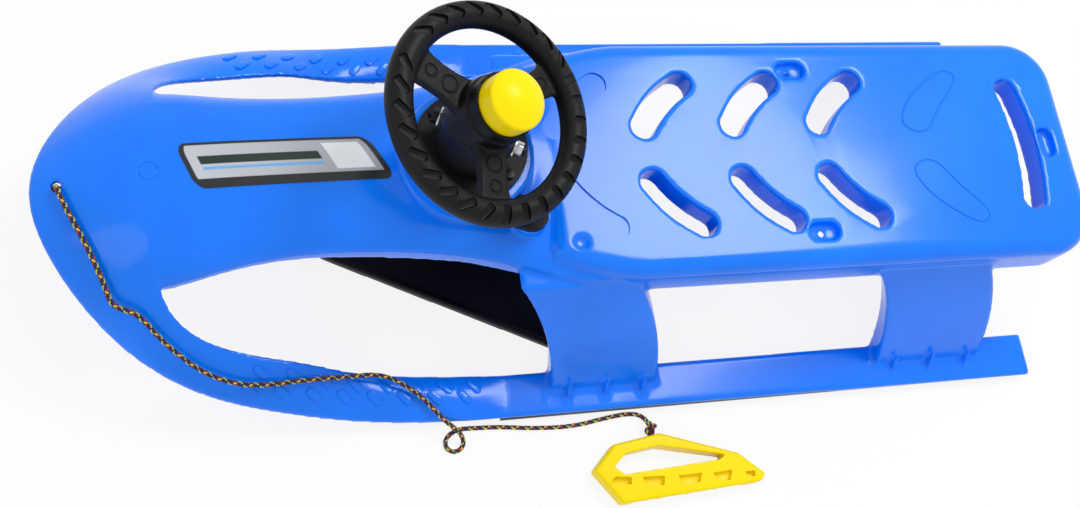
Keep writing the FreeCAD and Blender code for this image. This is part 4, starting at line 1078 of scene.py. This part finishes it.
# Plan corners of the cells along the grip bar, in millimetres.
HANDLE_CELLS = (
    ((3, -276), (10, -270), (26, -272), (25, -279)), ((37, -273), (60, -274), (58, -283), (39, -282)),
    ((74, -275), (99, -275), (95, -284), (76, -284)), ((110, -276), (131, -275), (127, -285), (113, -284)),
    ((144, -278), (155, -278), (154, -284), (146, -283)),
)
CELL_DEPTH = 6.0
CELL_EDGE = 0.8
HANDLE_ROUNDS = 3


class SLED_OT_handle(bpy.types.Operator):
    """Finish the yellow pull handle with its cells along the grip bar"""

    bl_idname = "sled.handle"
    bl_label = "Pull handle"

    def execute(self, context):
        handle = moulded(copy_of("pull_handle", "pull_handle_moulding"), forms().small_voxel, HANDLE_ROUNDS)
        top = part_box("pull_handle")[1][2] / MM
        cells = [prism("handle_cell", corners, top - CELL_DEPTH, top + CELL_DEPTH)
                 for corners in HANDLE_CELLS]
        carve(handle, modify(join(cells, "handle_cells"), "BEVEL", width=CELL_EDGE * MM, segments=2))
        dress(smooth_shade(handle, 45), "yellow_plastic", "pull_handle")
        return {"FINISHED"}


# Stage

CAMERA_PLACE = Vector((-0.3554, -0.4186, 1.1301))
CAMERA_RIGHT = Vector((0.9632, -0.1334, 0.2334))
CAMERA_DOWN = Vector((-0.0491, -0.9409, -0.3350))
CAMERA_AHEAD = Vector((0.2643, 0.3112, -0.9128))
CAMERA_LENS = 40.03
LAMPS = (
    ("seat_softbox", (0.87, 0.62, 2.0), (0.1, 0.0, 0.15), 0.78, 22.0),
    ("front_softbox", (-1.9, -1.0, 1.7), (-0.1, 0.0, 0.1), 1.2, 5.0),
)


def backdrop_paint(tree):
    """Pale floor that the camera sees almost white, with a soft shadow."""
    seen = tree.node("LightPath", output=0) + tree.node("LightPath", output=3)
    soft = noise(tree, 3.0)
    plain = tree.node("BsdfDiffuse", None, {"Color": soft.mix((0.86, 0.86, 0.86), (0.88, 0.88, 0.88))})
    glow = tree.node("Emission", None, {"Color": (1, 1, 1, 1), "Strength": 1.0})
    return tree.node("MixShader", None, {0: seen.maths("MINIMUM", seen, 1.0) * 0.85, 1: plain, 2: glow})


class SLED_OT_stage(bpy.types.Operator):
    """Set the floor, the lamps, the world and the camera"""

    bl_idname = "sled.stage"
    bl_label = "Stage"

    def execute(self, context):
        scene = context.scene
        scene.view_settings.view_transform = "Standard"
        deselect()
        bpy.ops.mesh.primitive_plane_add(size=14)
        floor = named("floor")
        floor.data.materials.append(material("floor_paint", backdrop_paint))
        for name, place, target, size, power in LAMPS:
            lamp = bpy.data.lights.new(name, "AREA")
            lamp.size = size
            lamp.energy = power
            holder = bpy.data.objects.new(name, lamp)
            holder.location = place
            holder.rotation_euler = (Vector(target) - Vector(place)).to_track_quat("-Z", "Y").to_euler()
            scene.collection.objects.link(holder)
        set_world(scene)
        camera = bpy.data.cameras.new("camera")
        camera.lens = CAMERA_LENS
        camera.sensor_width = 36
        camera.sensor_fit = "HORIZONTAL"
        holder = bpy.data.objects.new("camera", camera)
        turn = Matrix((CAMERA_RIGHT, -CAMERA_DOWN, -CAMERA_AHEAD)).transposed()
        holder.matrix_world = Matrix.Translation(CAMERA_PLACE) @ turn.to_4x4()
        scene.collection.objects.link(holder)
        scene.camera = holder
        return {"FINISHED"}


def set_world(scene):
    """A white surround for the camera and mirrors, and a soft even light for the rest."""
    world = bpy.data.worlds.new("surround")
    scene.world = world
    world.use_nodes = True
    world.node_tree.nodes.clear()
    tree = Wire(world.node_tree)
    seen = tree.node("LightPath", output=0)
    light = tree.node("Background", None, {"Color": (0.93, 0.96, 1.0, 1), "Strength": 0.82})
    white = tree.node("Background", None, {"Color": (1, 1, 1, 1), "Strength": 1.0})
    tree.node("OutputWorld", None, {"Surface": tree.node("MixShader", None, {0: seen, 1: light, 2: white})})


# Panel and registration

OPERATORS = (SLED_OT_stage, SLED_OT_tow_rope, SLED_OT_moulding, SLED_OT_label, SLED_OT_wheel, SLED_OT_horn,
             SLED_OT_steering_mouldings, SLED_OT_hardware, SLED_OT_handle)


class SLED_PT_panel(bpy.types.Panel):
    """Sizes, colours and pieces of the sled"""

    bl_idname = "SLED_PT_panel"
    bl_label = "Steering sled"
    bl_space_type = "VIEW_3D"
    bl_region_type = "UI"
    bl_category = "Sled"

    def draw(self, context):
        for group in (context.scene.sled_forms, context.scene.sled_finish):
            box = self.layout.box()
            for name in group.bl_rna.properties.keys():
                if name not in ("rna_type", "name"):
                    box.prop(group, name)
        for operator in OPERATORS:
            self.layout.operator(operator.bl_idname)


CLASSES = (SledForms, SledFinish, *OPERATORS, SLED_PT_panel)


def register():
    """Add the classes and the scene's settings."""
    for item in CLASSES:
        bpy.utils.register_class(item)
    bpy.types.Scene.sled_forms = PointerProperty(type=SledForms)
    bpy.types.Scene.sled_finish = PointerProperty(type=SledFinish)


def unregister():
    """Remove the classes and the scene's settings."""
    del bpy.types.Scene.sled_finish
    del bpy.types.Scene.sled_forms
    for item in reversed(CLASSES):
        bpy.utils.unregister_class(item)


def main():
    """Build every piece in order."""
    register()
    bpy.ops.sled.stage()
    bpy.ops.sled.tow_rope()
    bpy.ops.sled.moulding()
    bpy.ops.sled.label()
    bpy.ops.sled.wheel()
    bpy.ops.sled.horn()
    bpy.ops.sled.steering_mouldings()
    bpy.ops.sled.hardware()
    bpy.ops.sled.handle()


if __name__ == "__main__":
    main()
